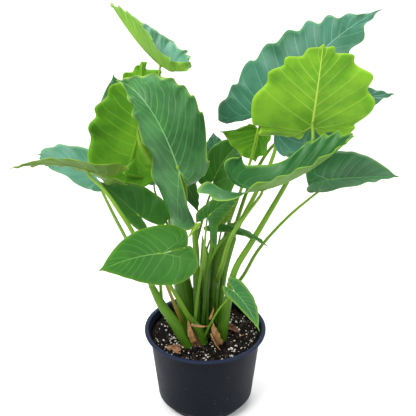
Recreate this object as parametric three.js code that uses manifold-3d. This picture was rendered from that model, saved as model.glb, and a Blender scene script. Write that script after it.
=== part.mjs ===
// A potted alocasia: a nursery pot filled with soil, five wrapped stem bases that stand in it, and
// the leaves that grow from them, each with its own stalk and its own waved, two-lobed blade.
// Millimetres, +Z up. The origin is on the pot's axis, at the level of the surface it stands on.

import * as THREE from "three";
import { mergeVertices } from "three/addons/utils/BufferGeometryUtils.js";
import Module from "manifold-3d";

const wasm = await Module();
wasm.setup();

// Driving dimensions
const POT = {
  height: 178,
  lipRadius: 127,
  lipDepth: 10,
  mouthRadius: 117,
  neckRadius: 116,
  shoulderRadius: 112,
  shoulderHeight: 134,
  heelRadius: 99.6,
  heelHeight: 20,
  footRadius: 85,
  footHeight: 9,
  footWidth: 5,
  wall: 2.6,
  floorHeight: 12,
  notches: 6,
  notchWidth: 26,
  drainRadius: 6,
  drainCircle: 55,
  sides: 36,
};
const SOIL = { level: 160, relief: 3, rings: [96, 62, 32] };
const GAP = 0.3; // between pieces that touch
const BLADE = 1.1; // thickness of a blade
const STEM_SIDES = 10;
const STALK_SIDES = 6;
const STALK_STEPS = 7;

// Half of a blade's outline. Across is a share of the half width. Along is a share of the midrib
// for the front, and of the lobe's length for the lobe, whose last point is the stalk's junction.
const FRONT_EDGE = [
  [0, 1], [0.06, 0.92], [0.25, 0.82], [0.48, 0.69], [0.69, 0.54], [0.86, 0.37], [0.96, 0.18],
];
const LOBE_EDGE = [
  [1, -0.04], [0.98, -0.33], [0.89, -0.62], [0.72, -0.87], [0.48, -1],
  [0.28, -0.9], [0.16, -0.66], [0.07, -0.36], [0, 0],
];
const WIDEST = FRONT_EDGE.length - 1; // edge parameter where the vein from the junction ends
const LOBE_TIP = WIDEST + 5; // edge parameter of the lobe's end
const EDGE_END = FRONT_EDGE.length + LOBE_EDGE.length - 1;
const COSTA = 0.78; // how far the lobe's own rib runs towards its end
const LOBE_STEPS = 4; // columns on each side of a lobe's rib

// Stem bases: path up from the soil, and radius at each of its points
const STEMS = {
  left: { path: [[-32, -42, 142], [-36, -43, 160], [-60, -46, 214], [-89, -50, 268], [-108, -50, 312]],
    radius: [14, 15, 13, 10, 7] },
  front: { path: [[-2, -31, 142], [-5, -32, 160], [-17, -34, 201], [-34, -38, 231]],
    radius: [10, 10.5, 9, 6.5] },
  centre: { path: [[-24, 25, 142], [-27, 25, 160], [-44, 25, 254], [-56, 26, 339], [-61, 28, 424]],
    radius: [21, 21, 18, 15, 11] },
  right: { path: [[32, -25, 142], [33, -25, 160], [40, -25, 213], [47, -26, 262], [53, -27, 309]],
    radius: [10, 11, 10, 9, 7] },
  rear: { path: [[11, 50, 142], [13, 50, 167], [18, 50, 213], [24, 50, 272]],
    radius: [15, 15, 13, 10] },
};

// Leaves. The midrib runs from junction to tip, its middle moved off the straight line by bow.
// Face is the way the upper side looks, and faceTip is that at the tip. The pairs are for the left
// and the right half: half width, lobe length, fold up from flat in degrees (foldLobe at the lobe),
// further curl to the margin, droop of the lobe and splay of the lobe outwards. Wave is the height
// of the margin's wave, scallop its reach outwards, and waves their number on the front of a half.
// Round moves the widest place forward, and oval narrows the half towards the junction. Taper
// narrows the lobe, and sinus below 1 closes the gap between the lobes.
const PLAIN = { splay: [0, 0], taper: [0, 0], sinus: [1, 1], round: [0, 0], oval: [0, 0], scallop: [0, 0] };
const LEAVES = {
  top_left: { junction: [-82, 60, 741], tip: [-186, 165, 832], bow: [3, -10, -11],
    face: [0.75, -0.1, 0.65], faceTip: [0.6, 0.5, 0.6], half: [54, 62], lobe: [80, 72], fold: [48, 52],
    curl: [0, 0], droop: [-75, -75], round: [0.45, 0.45], oval: [0.4, 0.1], wave: [7, 9],
    waves: [5, 5], scallop: [4, 5],
    stalk: { stem: "centre", path: [[-62, 38, 395], [-68, 84, 521], [-76, 80, 648]], radius: [5, 3] } },
  rear_left: { junction: [-155, 160, 570], tip: [-187, 172, 680], bow: [0, -10, 4],
    face: [-0.1, -0.85, 0.45], half: [62, 40], lobe: [40, 40], fold: [5, 5], curl: [-10, -10],
    droop: [20, 20], wave: [4, 4], waves: [4, 4],
    stalk: { stem: "centre", path: [[-64, 40, 360], [-66, 84, 420], [-84, 132, 492]], radius: [4, 3] } },
  back_left: { junction: [-136, 90, 579], tip: [-125, 140, 721], bow: [2, -8, 20],
    face: [-0.2, 0.85, 0.4], half: [110, 98], lobe: [88, 100], fold: [12, 12], curl: [-12, -12],
    droop: [10, 10], splay: [15, 15], round: [0.6, 0], wave: [9, 8], waves: [5, 5], scallop: [6, 6],
    stalk: { stem: "centre", path: [[-66, 38, 390], [-74, 44, 440], [-82, 54, 478], [-97, 67, 512]],
      radius: [7, 4] } },
  centre: { junction: [-50, -40, 566], tip: [-170, 40, 720], bow: [6, -35, 52], face: [0.2, -0.8, 0.6],
    half: [64, 128], lobe: [150, 84], fold: [-35, 8], foldLobe: [-30, 8], curl: [-50, -50],
    droop: [5, 70], taper: [0.12, 0.18], round: [-0.2, 0.1], oval: [0, 0.4], wave: [10, 5],
    waves: [4, 6], scallop: [6, 4],
    stalk: { stem: "centre", path: [[-50, 22, 385], [-40, 14, 472], [-43, -12, 529]], radius: [7, 4] } },
  far_left: { junction: [-223, 0, 544], tip: [-384, 10, 545], bow: [5, -2, 14],
    face: [0.05, 0.42, 0.9], half: [48, 50], lobe: [75, 75], fold: [17, -3], foldLobe: [50, -20],
    curl: [5, -5], droop: [-30, -15], wave: [2, 2], waves: [5, 5],
    stalk: { stem: "left", path: [[-105, -50, 305], [-126, -46, 376], [-150, -42, 438],
      [-184, -32, 486]], radius: [6, 4] } },
  left_rear: { junction: [-228, 130, 466], tip: [-350, 150, 508], bow: [4, 2, 4],
    face: [0.1, -0.75, 0.62], half: [32, 46], lobe: [26, 50], fold: [5, 5], curl: [-10, -10],
    droop: [15, 15], wave: [3, 3], waves: [3, 3],
    stalk: { stem: "left", path: [[-92, -42, 280], [-128, -10, 330], [-176, 50, 394], [-204, 98, 426]],
      radius: [3.5, 2.2] } },
  front_left: { junction: [-81, -118, 428], tip: [-203, -176, 422], bow: [2, 2, 7],
    face: [-0.05, -0.78, 0.62], half: [62, 56], lobe: [72, 64], fold: [3, 3], curl: [-12, -12],
    droop: [10, 10], splay: [-10, 12], sinus: [0.2, 0.2], wave: [2, 2], waves: [4, 4],
    stalk: { stem: "front", path: [[-32, -38, 225], [-52, -56, 280], [-71, -83, 340], [-78, -98, 391]],
      radius: [5.5, 3] } },
  small_rear: { junction: [-115, 140, 476], tip: [-164, 165, 480], bow: [0, 0, 2],
    face: [0, -0.8, 0.6], half: [30, 34], lobe: [30, 32], fold: [5, 5], curl: [-10, -10],
    droop: [15, 15], wave: [2, 2], waves: [4, 4],
    stalk: { stem: "centre", path: [[-62, 38, 340], [-78, 70, 385], [-105, 118, 440]], radius: [3, 2] } },
  left_shade: { junction: [-129, 14, 434], tip: [-213, 45, 500], bow: [0, 0, 1], face: [0, -0.8, 0.6],
    half: [24, 56], lobe: [26, 46], fold: [5, 5], curl: [-12, -12], droop: [15, 15], wave: [3, 3],
    waves: [4, 4],
    stalk: { stem: "left", path: [[-88, -48, 262], [-93, -14, 312], [-112, 8, 385]],
      radius: [3.5, 2.5] } },
  top_right: { junction: [143, 60, 653], tip: [345, 130, 831], bow: [-14, -20, 29],
    face: [-0.2, -0.85, 0.5], half: [104, 86], lobe: [135, 110], fold: [5, 5], curl: [-25, -10],
    droop: [15, 15], splay: [30, 10], round: [-0.45, -0.2], wave: [7, 7], waves: [5, 5],
    scallop: [4, 4],
    stalk: { stem: "rear", path: [[25, 52, 262], [60, 66, 371], [104, 68, 462], [138, 70, 548]],
      radius: [6, 4] } },
  lime_right: { junction: [203, -20, 651], tip: [215, -40, 824], bow: [0, -14, 12],
    face: [0, 0.85, 0.5], faceTip: [0, 0.75, 0.65], half: [122, 116], lobe: [30, 54], fold: [10, 10],
    curl: [-15, -15], droop: [-25, -25], taper: [0.2, 0.12], round: [0.4, 0.1], oval: [0.14, 0],
    wave: [8, 8], waves: [4, 4], scallop: [8, 8],
    stalk: { stem: "right", path: [[51, -27, 300], [64, -28, 345], [92, -28, 399], [128, -26, 470],
      [161, -24, 537], [188, -22, 601]], radius: [7, 4.5] } },
  folded_right: { junction: [104, -80, 545], tip: [280, -60, 650], bow: [-3, -5, -18],
    face: [-0.1, -0.1, 1], half: [70, 72], lobe: [127, 116], fold: [55, 46], foldLobe: [72, -12],
    curl: [0, 0], droop: [-88, -42], splay: [8, 0], taper: [-2, 0.4], sinus: [1, -1.6],
    round: [0.9, 0], oval: [0.65, 0.1], wave: [5, 5], waves: [5, 5], scallop: [3, 3],
    stalk: { stem: "rear", path: [[22, 44, 255], [34, -20, 340], [52, -46, 424], [80, -68, 486]],
      radius: [5, 3.5] } },
  far_right: { junction: [247, 30, 510], tip: [380, -30, 547], bow: [-2, 0, 3], face: [0, -0.75, 0.65],
    half: [62, 52], lobe: [54, 36], fold: [0, 55], curl: [-15, -10], droop: [10, 10],
    sinus: [0.15, 0.15], wave: [2, 2], waves: [4, 4],
    stalk: { stem: "rear", path: [[26, 46, 222], [71, 38, 268], [111, 38, 346], [168, 38, 421],
      [212, 38, 465]], radius: [4, 3] } },
  small_right: { junction: [18, 15, 418], tip: [125, -85, 419], bow: [4, 0, 14], face: [0, 0.1, 1],
    half: [15, 19], lobe: [24, 24], fold: [-20, -20], curl: [-30, -30], droop: [20, 20], wave: [3, 3],
    waves: [4, 4],
    stalk: { stem: "centre", path: [[-32, 24, 225], [-12, 24, 300], [8, 20, 370]], radius: [3, 2] } },
  small_front: { junction: [60, -60, 303], tip: [109, -105, 238], bow: [3, 2, 5],
    face: [0.3, -0.8, 0.5], half: [26, 17], lobe: [30, 26], fold: [5, 5], curl: [-20, -20],
    droop: [0, 0], wave: [2, 2], waves: [4, 4],
    stalk: { stem: "front", path: [[-2, -36, 175], [12, -46, 219], [30, -52, 260]], radius: [2.6, 2] } },
  behind_right: { junction: [204, 142, 578], tip: [389, 152, 642], bow: [1, 0, 18],
    face: [0, -0.5, 0.8], half: [44, 55], lobe: [60, 70], fold: [10, 10], curl: [-15, -15],
    droop: [30, 30], wave: [4, 4], waves: [5, 5],
    stalk: { stem: "rear", path: [[28, 50, 258], [58, 90, 351], [98, 122, 465], [146, 138, 540]],
      radius: [5, 3.5] } },
  centre_rear: { junction: [107, 110, 585], tip: [94, 78, 527], bow: [4, 4, 4], face: [0, 0.9, -0.1],
    half: [84, 30], lobe: [20, 20], fold: [-18, 0], curl: [-10, -10], droop: [60, 60],
    round: [0.4, 0.3], oval: [0, 0.2], wave: [4, 4], waves: [4, 4],
    stalk: { stem: "rear", path: [[22, 56, 258], [42, 62, 367], [72, 60, 470], [90, 66, 530]],
      radius: [4, 3] } },
  centre_dark: { junction: [16, 60, 492], tip: [72, 118, 549], bow: [-2, -5, 11],
    face: [-0.1, -0.8, 0.6], half: [44, 40], lobe: [14, 25], fold: [10, 10], curl: [-10, -10],
    droop: [15, 15], round: [0.6, 0], oval: [0.35, 0], wave: [3, 3], waves: [4, 4],
    stalk: { stem: "centre", path: [[-44, 28, 270], [-20, 46, 350], [4, 60, 440]], radius: [3.5, 2.5] } },
  centre_low: { junction: [5, -38, 463], tip: [73, -8, 494], bow: [0, 5, 5], face: [-0.1, -0.8, 0.6],
    half: [22, 24], lobe: [22, 64], fold: [10, 10], curl: [-10, -10], droop: [70, 30], splay: [0, 50],
    taper: [0, -0.4], wave: [3, 3], waves: [4, 4],
    stalk: { stem: "front", path: [[-22, -32, 205], [-14, -20, 280], [-2, -26, 380]],
      radius: [3.5, 2.5] } },
  rear_teal: { junction: [20, 120, 506], tip: [16, 150, 561], bow: [1, -3, 0], face: [0, -0.8, 0.6],
    half: [30, 34], lobe: [28, 28], fold: [5, 5], curl: [-10, -10], droop: [15, 15], wave: [3, 3],
    waves: [4, 4],
    stalk: { stem: "rear", path: [[18, 58, 245], [12, 85, 364], [18, 118, 457]], radius: [3, 2.2] } },
  inner_left: { junction: [-50, 48, 514], tip: [-14, 38, 430], bow: [5, -2, -1],
    face: [0.3, -0.7, 0.6], half: [22, 22], lobe: [22, 22], fold: [5, 5], curl: [-10, -10],
    droop: [15, 15], wave: [2, 2], waves: [4, 4],
    stalk: { stem: "centre", path: [[-50, 30, 395], [-50, 46, 460]], radius: [3, 2.2] } },
  pale_right: { junction: [34, 44, 424], tip: [54, 54, 448], bow: [2, 0, 2], face: [0.2, 0.8, 0.5],
    half: [24, 24], lobe: [24, 24], fold: [5, 5], curl: [-10, -10], droop: [15, 15], wave: [2, 2],
    waves: [4, 4],
    stalk: { stem: "rear", path: [[17, 46, 225], [22, 34, 300], [27, 26, 360]], radius: [2.6, 2] } },
};

// Dry leaves and scraps of sheath, shaped as small blades
const SCRAPS = {
  litter_left: { junction: [-56, -62, 161], tip: [-84, -56, 164], bow: [0, 0, 4], face: [0.1, -0.3, 1],
    half: [9, 8], lobe: [5, 5], fold: [25, 15], curl: [0, 20], droop: [0, 0],
    wave: [1.5, 1.5], waves: [2, 2] },
  litter_right: { junction: [44, 26, 161], tip: [76, -6, 162], bow: [0, 0, 4], face: [-0.2, -0.3, 1],
    half: [10, 9], lobe: [6, 6], fold: [20, 25], curl: [10, 0], droop: [0, 0],
    wave: [1.5, 1.5], waves: [2, 2] },
  husk_left: { junction: [-19, -46, 158], tip: [-35, -24, 212], bow: [-2, -4, 0], face: [0.1, -1, 0.1],
    half: [10, 9], lobe: [4, 4], fold: [10, 10], curl: [-20, -20], droop: [0, 0],
    wave: [1.5, 1.5], waves: [2, 2] },
  husk_right: { junction: [29, -42, 160], tip: [17, -40, 206], bow: [-2, -5, 0], face: [-0.1, -1, 0.3],
    half: [8, 12], lobe: [4, 4], fold: [-10, -10], curl: [-30, -40], droop: [0, 0],
    wave: [1.5, 1.5], waves: [2, 2] },
};
const OLD_STALK = {
  path: [[-54, -12, 148], [-50, -12, 198], [-62, -14, 240], [-80, -20, 300]],
  radius: [3, 2],
};

const COLOURS = {
  pot: 0x1d222c,
  soil: 0x2a211b,
  stem: 0x4f7f2c,
  stalk: 0x7da33c,
  blade: 0x3f7d45,
  paleBlade: 0x86b53a,
  dry: 0x9a6a42,
  oldStalk: 0xa99a4a,
};

const lerp = THREE.MathUtils.lerp;
const clamp = THREE.MathUtils.clamp;
const radians = (degrees) => THREE.MathUtils.degToRad(degrees) || 1e-3;
const vec = (p) => new THREE.Vector3(...p);
const sum = (start, ...terms) =>
  terms.reduce((at, [axis, by]) => at.addScaledVector(axis, by), start.clone());

// A closed geometry as a solid that can be joined and cut
function solidOf(geometry) {
  const bare = geometry.clone();
  bare.deleteAttribute("normal");
  bare.deleteAttribute("uv");
  const merged = mergeVertices(bare, 1e-3);
  const vertProperties = new Float32Array(merged.attributes.position.array);
  const triVerts = new Uint32Array(merged.index.array);
  return new wasm.Manifold(new wasm.Mesh({ numProp: 3, vertProperties, triVerts }));
}

// A solid as a named mesh, with its own origin at the given place
function meshOf(name, solid, material, origin = [0, 0, 0]) {
  const data = solid.getMesh();
  const geometry = new THREE.BufferGeometry();
  geometry.setAttribute("position", new THREE.BufferAttribute(new Float32Array(data.vertProperties), 3));
  geometry.setIndex(new THREE.BufferAttribute(new Uint32Array(data.triVerts), 1));
  geometry.translate(-origin[0], -origin[1], -origin[2]);
  geometry.computeVertexNormals();
  const mesh = new THREE.Mesh(geometry, material);
  mesh.name = name;
  mesh.position.set(...origin);
  return mesh;
}

function matte(color, roughness = 0.6) {
  return new THREE.MeshStandardMaterial({ color, roughness, metalness: 0 });
}

// The largest of a cut solid's pieces
function largest(solid) {
  return solid.decompose().reduce((a, b) => (b.volume() > a.volume() ? b : a));
}

// A rod of round section along a smooth path, its radius running through the given values
function rodGeometry(path, radii, sides, steps, grow = 0) {
  const curve = new THREE.CatmullRomCurve3(path.map(vec), false, "centripetal");
  const frames = curve.computeFrenetFrames(steps, false);
  const radiusCurve = new THREE.SplineCurve(radii.map((r, i) => new THREE.Vector2(i, r)));
  const positions = [];
  const index = [];
  for (let i = 0; i <= steps; i++) {
    const centre = curve.getPointAt(i / steps);
    const radius = radiusCurve.getPoint(i / steps).y + grow;
    for (let k = 0; k < sides; k++) {
      const turn = (2 * Math.PI * k) / sides;
      const across = [frames.normals[i], radius * Math.cos(turn)];
      const up = [frames.binormals[i], radius * Math.sin(turn)];
      positions.push(...sum(centre, across, up).toArray());
    }
  }
  const ring = (i, k) => i * sides + (k % sides);
  for (let i = 0; i < steps; i++)
    for (let k = 0; k < sides; k++)
      index.push(
        ring(i, k), ring(i, k + 1), ring(i + 1, k + 1),
        ring(i, k), ring(i + 1, k + 1), ring(i + 1, k),
      );
  for (let k = 1; k < sides - 1; k++)
    index.push(ring(0, 0), ring(0, k + 1), ring(0, k), ring(steps, 0), ring(steps, k), ring(steps, k + 1));
  const geometry = new THREE.BufferGeometry();
  geometry.setAttribute("position", new THREE.Float32BufferAttribute(positions, 3));
  geometry.setIndex(index);
  return geometry;
}

// The point of a smooth line through points, where its parameter counts them from 0
function along(points, parameter) {
  const last = points.length - 1;
  const i = Math.min(Math.floor(parameter), last - 1);
  const w = parameter - i;
  const [p0, p1, p2, p3] = [Math.max(i - 1, 0), i, i + 1, Math.min(i + 2, last)].map((k) => points[k]);
  return [0, 1].map((c) => {
    const pull = (2 * p0[c] - 5 * p1[c] + 4 * p2[c] - p3[c]) * w * w;
    const turn = (3 * p1[c] - p0[c] - 3 * p2[c] + p3[c]) * w * w * w;
    return 0.5 * (2 * p1[c] + (p2[c] - p0[c]) * w + pull + turn);
  });
}

// The flat outline of half a leaf in millimetres, as points for the function above
function edgePoints(leaf, length, h) {
  const [half, round, oval] = [leaf.half[h], leaf.round[h], leaf.oval[h]];
  const front = FRONT_EDGE.map(([x, y]) => {
    const narrowed = 1 - oval * (1 - y) ** 2;
    return [x * narrowed * half, (y + round * y * (1 - y)) * length];
  });
  const lobe = LOBE_EDGE.map(([x, y], i) => {
    const inner = WIDEST + 1 + i > LOBE_TIP ? leaf.sinus[h] : 1;
    const tapered = 1 - leaf.taper[h] * Math.min(1, (i + 2) / 4);
    return [x * inner * tapered * (1 - oval) * half, y * leaf.lobe[h]];
  });
  return [...front, ...lobe];
}

// Number of the margin's waves passed at an edge parameter: unevenly spaced, and wider on the lobe
function ripple(leaf, v, side) {
  const uneven = 0.14 * Math.sin(1.3 * v + 1.7 * side + 0.03 * leaf.junction[0]);
  const passed = Math.min(v, WIDEST) + 0.45 * Math.max(v - WIDEST, 0);
  return (leaf.waves[side < 0 ? 0 : 1] * passed) / WIDEST + uneven;
}

// Strength of the margin's wave: none at the tip and at the junction
function marginFade(v) {
  return clamp(v, 0, 1) * clamp((EDGE_END - v) / 2.5, 0, 1);
}

// Columns of half a leaf from its tip round to the junction: each runs from its foot on the midrib
// or on the lobe's rib to its point on the edge
function flatColumns(leaf, length, side) {
  const h = side < 0 ? 0 : 1;
  const edge = edgePoints(leaf, length, h);
  const lobeTip = along(edge, LOBE_TIP);
  const onCosta = (share) => lobeTip.map((c) => c * COSTA * share);
  const columns = [];
  const frontSteps = 2 * Math.max(...leaf.waves) + 3; // the same for both halves
  for (let i = 0; i <= frontSteps; i++) {
    const share = i / frontSteps;
    columns.push({ v: share * WIDEST, foot: [0, (1 - share) * length] });
  }
  for (let i = 1; i <= LOBE_STEPS; i++) {
    const share = i / LOBE_STEPS;
    columns.push({ v: WIDEST + share * (LOBE_TIP - WIDEST), foot: onCosta(share) });
  }
  for (let i = 1; i <= LOBE_STEPS; i++) {
    const share = i / LOBE_STEPS;
    columns.push({ v: LOBE_TIP + share * (EDGE_END - LOBE_TIP), foot: onCosta(1 - share) });
  }
  return columns.map(({ v, foot }) => {
    const [x, y] = along(edge, v);
    const reach = Math.hypot(x - foot[0], y - foot[1]) || 1;
    const scallop = Math.min(leaf.scallop[h] / reach, 0.16) * marginFade(v);
    const out = scallop * Math.cos(2 * Math.PI * ripple(leaf, v, side));
    return { v, foot, edge: [x + (x - foot[0]) * out, y + (y - foot[1]) * out] };
  });
}

// The lobe turned outwards by its splay, as a squeeze of its angles about the junction
function splayed([x, y], leaf, h) {
  if (y >= 0) return [x, y];
  const reach = Math.hypot(x, y);
  const angle = Math.atan2(-y, x) * (1 - leaf.splay[h] / 90);
  return [reach * Math.cos(angle), -reach * Math.sin(angle)];
}

// A leaf's shape with what the tables leave out
function leafOf(shape) {
  return { faceTip: shape.face, foldLobe: shape.fold, ...PLAIN, ...shape };
}

// The midrib of a leaf: a curve through its junction, bowed middle and tip
function ribOf(leaf) {
  const [start, end] = [vec(leaf.junction), vec(leaf.tip)];
  const control = sum(start.clone().lerp(end, 0.5), [vec(leaf.bow), 2]);
  return new THREE.QuadraticBezierCurve3(start, control, end);
}

// Directions at a place on the midrib: forward to the tip, up from the upper side, and right
function frameOf(leaf, rib, share) {
  const forward = rib.getTangent(share);
  const face = vec(leaf.face).normalize().lerp(vec(leaf.faceTip).normalize(), share);
  const up = face.addScaledVector(forward, -face.dot(forward)).normalize();
  return { forward, up, right: forward.clone().cross(up) };
}

// Height of the margin's wave at an edge parameter
function waveAt(leaf, v, side) {
  const vary = 0.75 + 0.25 * Math.sin(1.9 * v + 2.1 * side + leaf.junction[0] * 0.05);
  return -leaf.wave[side < 0 ? 0 : 1] * marginFade(v) * vary * Math.cos(2 * Math.PI * ripple(leaf, v, side));
}

// A flat place of a leaf bent into space, with the direction that the upper side faces there
function bent(leaf, rib, length, side, [x, y], lift) {
  const h = side < 0 ? 0 : 1;
  const [width, lobe] = [leaf.half[h], leaf.lobe[h]];
  const share = clamp(y / length, 0, 1);
  const { forward, up, right } = frameOf(leaf, rib, share);
  const back = Math.max(-y, 0);
  const fold = radians(lerp(leaf.fold[h], leaf.foldLobe[h], clamp(back / lobe, 0, 1)));
  const curl = radians(leaf.curl[h]);
  const angle = fold + (curl * x) / width;
  const across = ((Math.sin(angle) - Math.sin(fold)) * width) / curl;
  const rise = ((Math.cos(fold) - Math.cos(angle)) * width) / curl;
  const stiff = 0.12 * lobe; // the lobe droops only beyond this
  const droop = radians(leaf.droop[h]);
  const reach = (lobe - stiff) / droop;
  const turn = (droop * Math.max(back - stiff, 0)) / (lobe - stiff);
  const behind = Math.min(back, stiff) + reach * Math.sin(turn);
  const below = reach * (1 - Math.cos(turn));
  const tilted = sum(up.clone().multiplyScalar(Math.cos(turn)), [forward, -Math.sin(turn)]);
  const open = angle * Math.min(1, Math.abs(x) / (0.12 * width));
  const normal = sum(tilted.clone().multiplyScalar(Math.cos(open)), [right, -side * Math.sin(open)]);
  const place = sum(rib.getPoint(share), [forward, -behind], [up, -below], [right, side * across],
    [tilted, rise], [normal, lift]);
  return { place, normal };
}

// Rows of points from the rib to the edge
function rowsOf(leaf) {
  return Math.max(...leaf.half) > 75 ? 3 : 2;
}

// A blade: both halves as rows of points from rib to edge, the same triangles on both faces
function bladeGeometry(leaf, rows, grow = 0) {
  const rib = ribOf(leaf);
  const length = rib.getLength();
  const thick = BLADE / 2 + grow;
  const positions = [];
  const index = [];
  const quad = (a, b, c, d, flip) => index.push(...(flip ? [a, c, b, a, d, c] : [a, b, c, a, c, d]));
  for (const side of [-1, 1]) {
    const h = side < 0 ? 0 : 1;
    const columns = flatColumns(leaf, length, side);
    const start = positions.length / 3;
    for (const { v, foot, edge } of columns)
      for (let j = 0; j <= rows; j++) {
        const out = j / rows;
        const flat = splayed([lerp(foot[0], edge[0], out), lerp(foot[1], edge[1], out)], leaf, h);
        const { place, normal } = bent(leaf, rib, length, side, flat, waveAt(leaf, v, side) * out * out);
        positions.push(...sum(place, [normal, thick]).toArray(), ...sum(place, [normal, -thick]).toArray());
      }
    const top = (i, j) => start + 2 * (i * (rows + 1) + j);
    const under = (i, j) => top(i, j) + 1;
    for (let i = 0; i < columns.length - 1; i++) {
      for (let j = 0; j < rows; j++) {
        quad(top(i, j), top(i + 1, j), top(i + 1, j + 1), top(i, j + 1), side < 0);
        quad(under(i, j), under(i + 1, j), under(i + 1, j + 1), under(i, j + 1), side > 0);
      }
      quad(top(i, rows), top(i + 1, rows), under(i + 1, rows), under(i, rows), side < 0);
    }
  }
  const geometry = new THREE.BufferGeometry();
  geometry.setAttribute("position", new THREE.Float32BufferAttribute(positions, 3));
  geometry.setIndex(index);
  const merged = mergeVertices(geometry, 1e-3);
  merged.setIndex(withoutSlivers(merged.index.array));
  return merged;
}

// Triangles whose three corners differ
function withoutSlivers(corners) {
  const kept = [];
  for (let i = 0; i < corners.length; i += 3) {
    const [a, b, c] = corners.slice(i, i + 3);
    if (a !== b && b !== c && c !== a) kept.push(a, b, c);
  }
  return kept;
}

// A stalk from its stem to just under the blade, cut clear of everything in the way
function stalkSolid(leaf, cutters) {
  const rib = ribOf(leaf);
  const { forward, up, right } = frameOf(leaf, rib, 0);
  const radius = leaf.stalk.radius;
  const top = sum(rib.getPoint(0), [forward, radius[1] + 2], [up, -BLADE / 2 - GAP]);
  const approach = 0.45 * Math.min(...leaf.half, 70);
  const below = sum(top, [up, -approach], [forward, -0.5 * approach]);
  const path = [...leaf.stalk.path, below.toArray(), top.toArray()];
  const rod = solidOf(rodGeometry(path, radius, STALK_SIDES, STALK_STEPS));
  const lid = new THREE.BoxGeometry(80, 80, 60).translate(0, 0, 30);
  lid.applyMatrix4(new THREE.Matrix4().makeBasis(right, forward, up));
  lid.translate(...top.toArray());
  const blade = solidOf(bladeGeometry(leaf, rowsOf(leaf), 2 * GAP));
  const open = rod.subtract(solidOf(lid)).subtract(blade);
  return largest(cutters.reduce((left, cutter) => left.subtract(cutter), open));
}

function potSolid() {
  const p = POT;
  const inside = (r) => r - p.wall;
  const profile = [
    [0, p.floorHeight - p.wall],
    [p.footRadius - p.footWidth, p.floorHeight - p.wall],
    [p.footRadius - p.footWidth, 0],
    [p.footRadius, 0],
    [p.footRadius, p.footHeight],
    [lerp(p.footRadius, p.heelRadius, 0.62), p.footHeight + 3.5],
    [p.heelRadius, p.heelHeight],
    [p.shoulderRadius, p.shoulderHeight],
    [p.neckRadius, p.height - p.lipDepth],
    [p.lipRadius, p.height - p.lipDepth],
    [p.lipRadius, p.height - 2],
    [p.lipRadius - 2.5, p.height],
    [p.mouthRadius + 1.5, p.height],
    [p.mouthRadius, p.height - 1.5],
    [inside(p.neckRadius), p.height - p.lipDepth],
    [inside(p.shoulderRadius), p.shoulderHeight],
    [inside(p.heelRadius), p.heelHeight + 1],
    [inside(p.heelRadius) - 5, p.floorHeight],
    [0, p.floorHeight],
  ];
  const lathe = new THREE.LatheGeometry(profile.map(([x, y]) => new THREE.Vector2(x, y)), p.sides);
  let pot = solidOf(lathe.rotateX(Math.PI / 2));
  for (let i = 0; i < p.notches; i++) {
    const turn = -Math.PI / 2 + (2 * Math.PI * i) / p.notches;
    const notch = new THREE.BoxGeometry(30, p.notchWidth, 2 * p.footHeight);
    notch.translate(p.footRadius, 0, 0).rotateZ(turn);
    const drain = new THREE.CylinderGeometry(p.drainRadius, p.drainRadius, 4 * p.wall, 8);
    drain.rotateX(Math.PI / 2).translate(p.drainCircle, 0, p.floorHeight).rotateZ(turn);
    pot = pot.subtract(solidOf(notch)).subtract(solidOf(drain));
  }
  return pot;
}

// Soil: fills the pot to its level, with a low uneven top that has a hole for each stem
function soilSolid(cutters) {
  const p = POT;
  const inside = (r) => r - p.wall - GAP;
  const floor = p.floorHeight + GAP;
  const wallAt = (z) => lerp(inside(p.shoulderRadius), inside(p.neckRadius),
    (z - p.shoulderHeight) / (p.height - p.lipDepth - p.shoulderHeight));
  const profile = [
    [0, floor],
    [inside(p.heelRadius) - 5, floor],
    [inside(p.heelRadius), p.heelHeight + 1],
    [inside(p.shoulderRadius), p.shoulderHeight],
    [wallAt(SOIL.level), SOIL.level],
    ...SOIL.rings.map((r) => [r, SOIL.level]),
    [0, SOIL.level],
  ];
  const lathe = new THREE.LatheGeometry(profile.map(([x, y]) => new THREE.Vector2(x, y)), p.sides);
  lathe.rotateX(Math.PI / 2);
  const at = lathe.attributes.position;
  for (let i = 0; i < at.count; i++) {
    const [x, y, z] = [at.getX(i), at.getY(i), at.getZ(i)];
    const inner = Math.hypot(x, y) < SOIL.rings[0] + 1;
    if (z > SOIL.level - 1 && inner) at.setZ(i, z + soilRelief(x, y));
  }
  return cutters.reduce((left, cutter) => left.subtract(cutter), solidOf(lathe));
}

// The soil's uneven top: two crossed swells, and a low mound round the stems
function soilRelief(x, y) {
  const swell = 0.6 * Math.sin(x / 13 + 1) * Math.sin(y / 17) + 0.4 * Math.sin((x + y) / 8);
  const mound = Math.exp(-(x * x + y * y) / 3600);
  return SOIL.relief * (swell + 0.6 * mound);
}

// Stem bases, from which every stalk starts
const stems = new THREE.Group();
const stemCutters = [];
const stemSolids = new Map();
for (const [name, { path, radius }] of Object.entries(STEMS)) {
  const build = (grow) => solidOf(rodGeometry(path, radius, STEM_SIDES, 10, grow));
  const solid = stemCutters.reduce((left, cutter) => left.subtract(cutter), build(0));
  stemCutters.push(build(GAP));
  stemSolids.set(name, solid);
  stems.add(meshOf(`stem_${name}`, largest(solid), matte(COLOURS.stem), path[0]));
}

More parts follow.
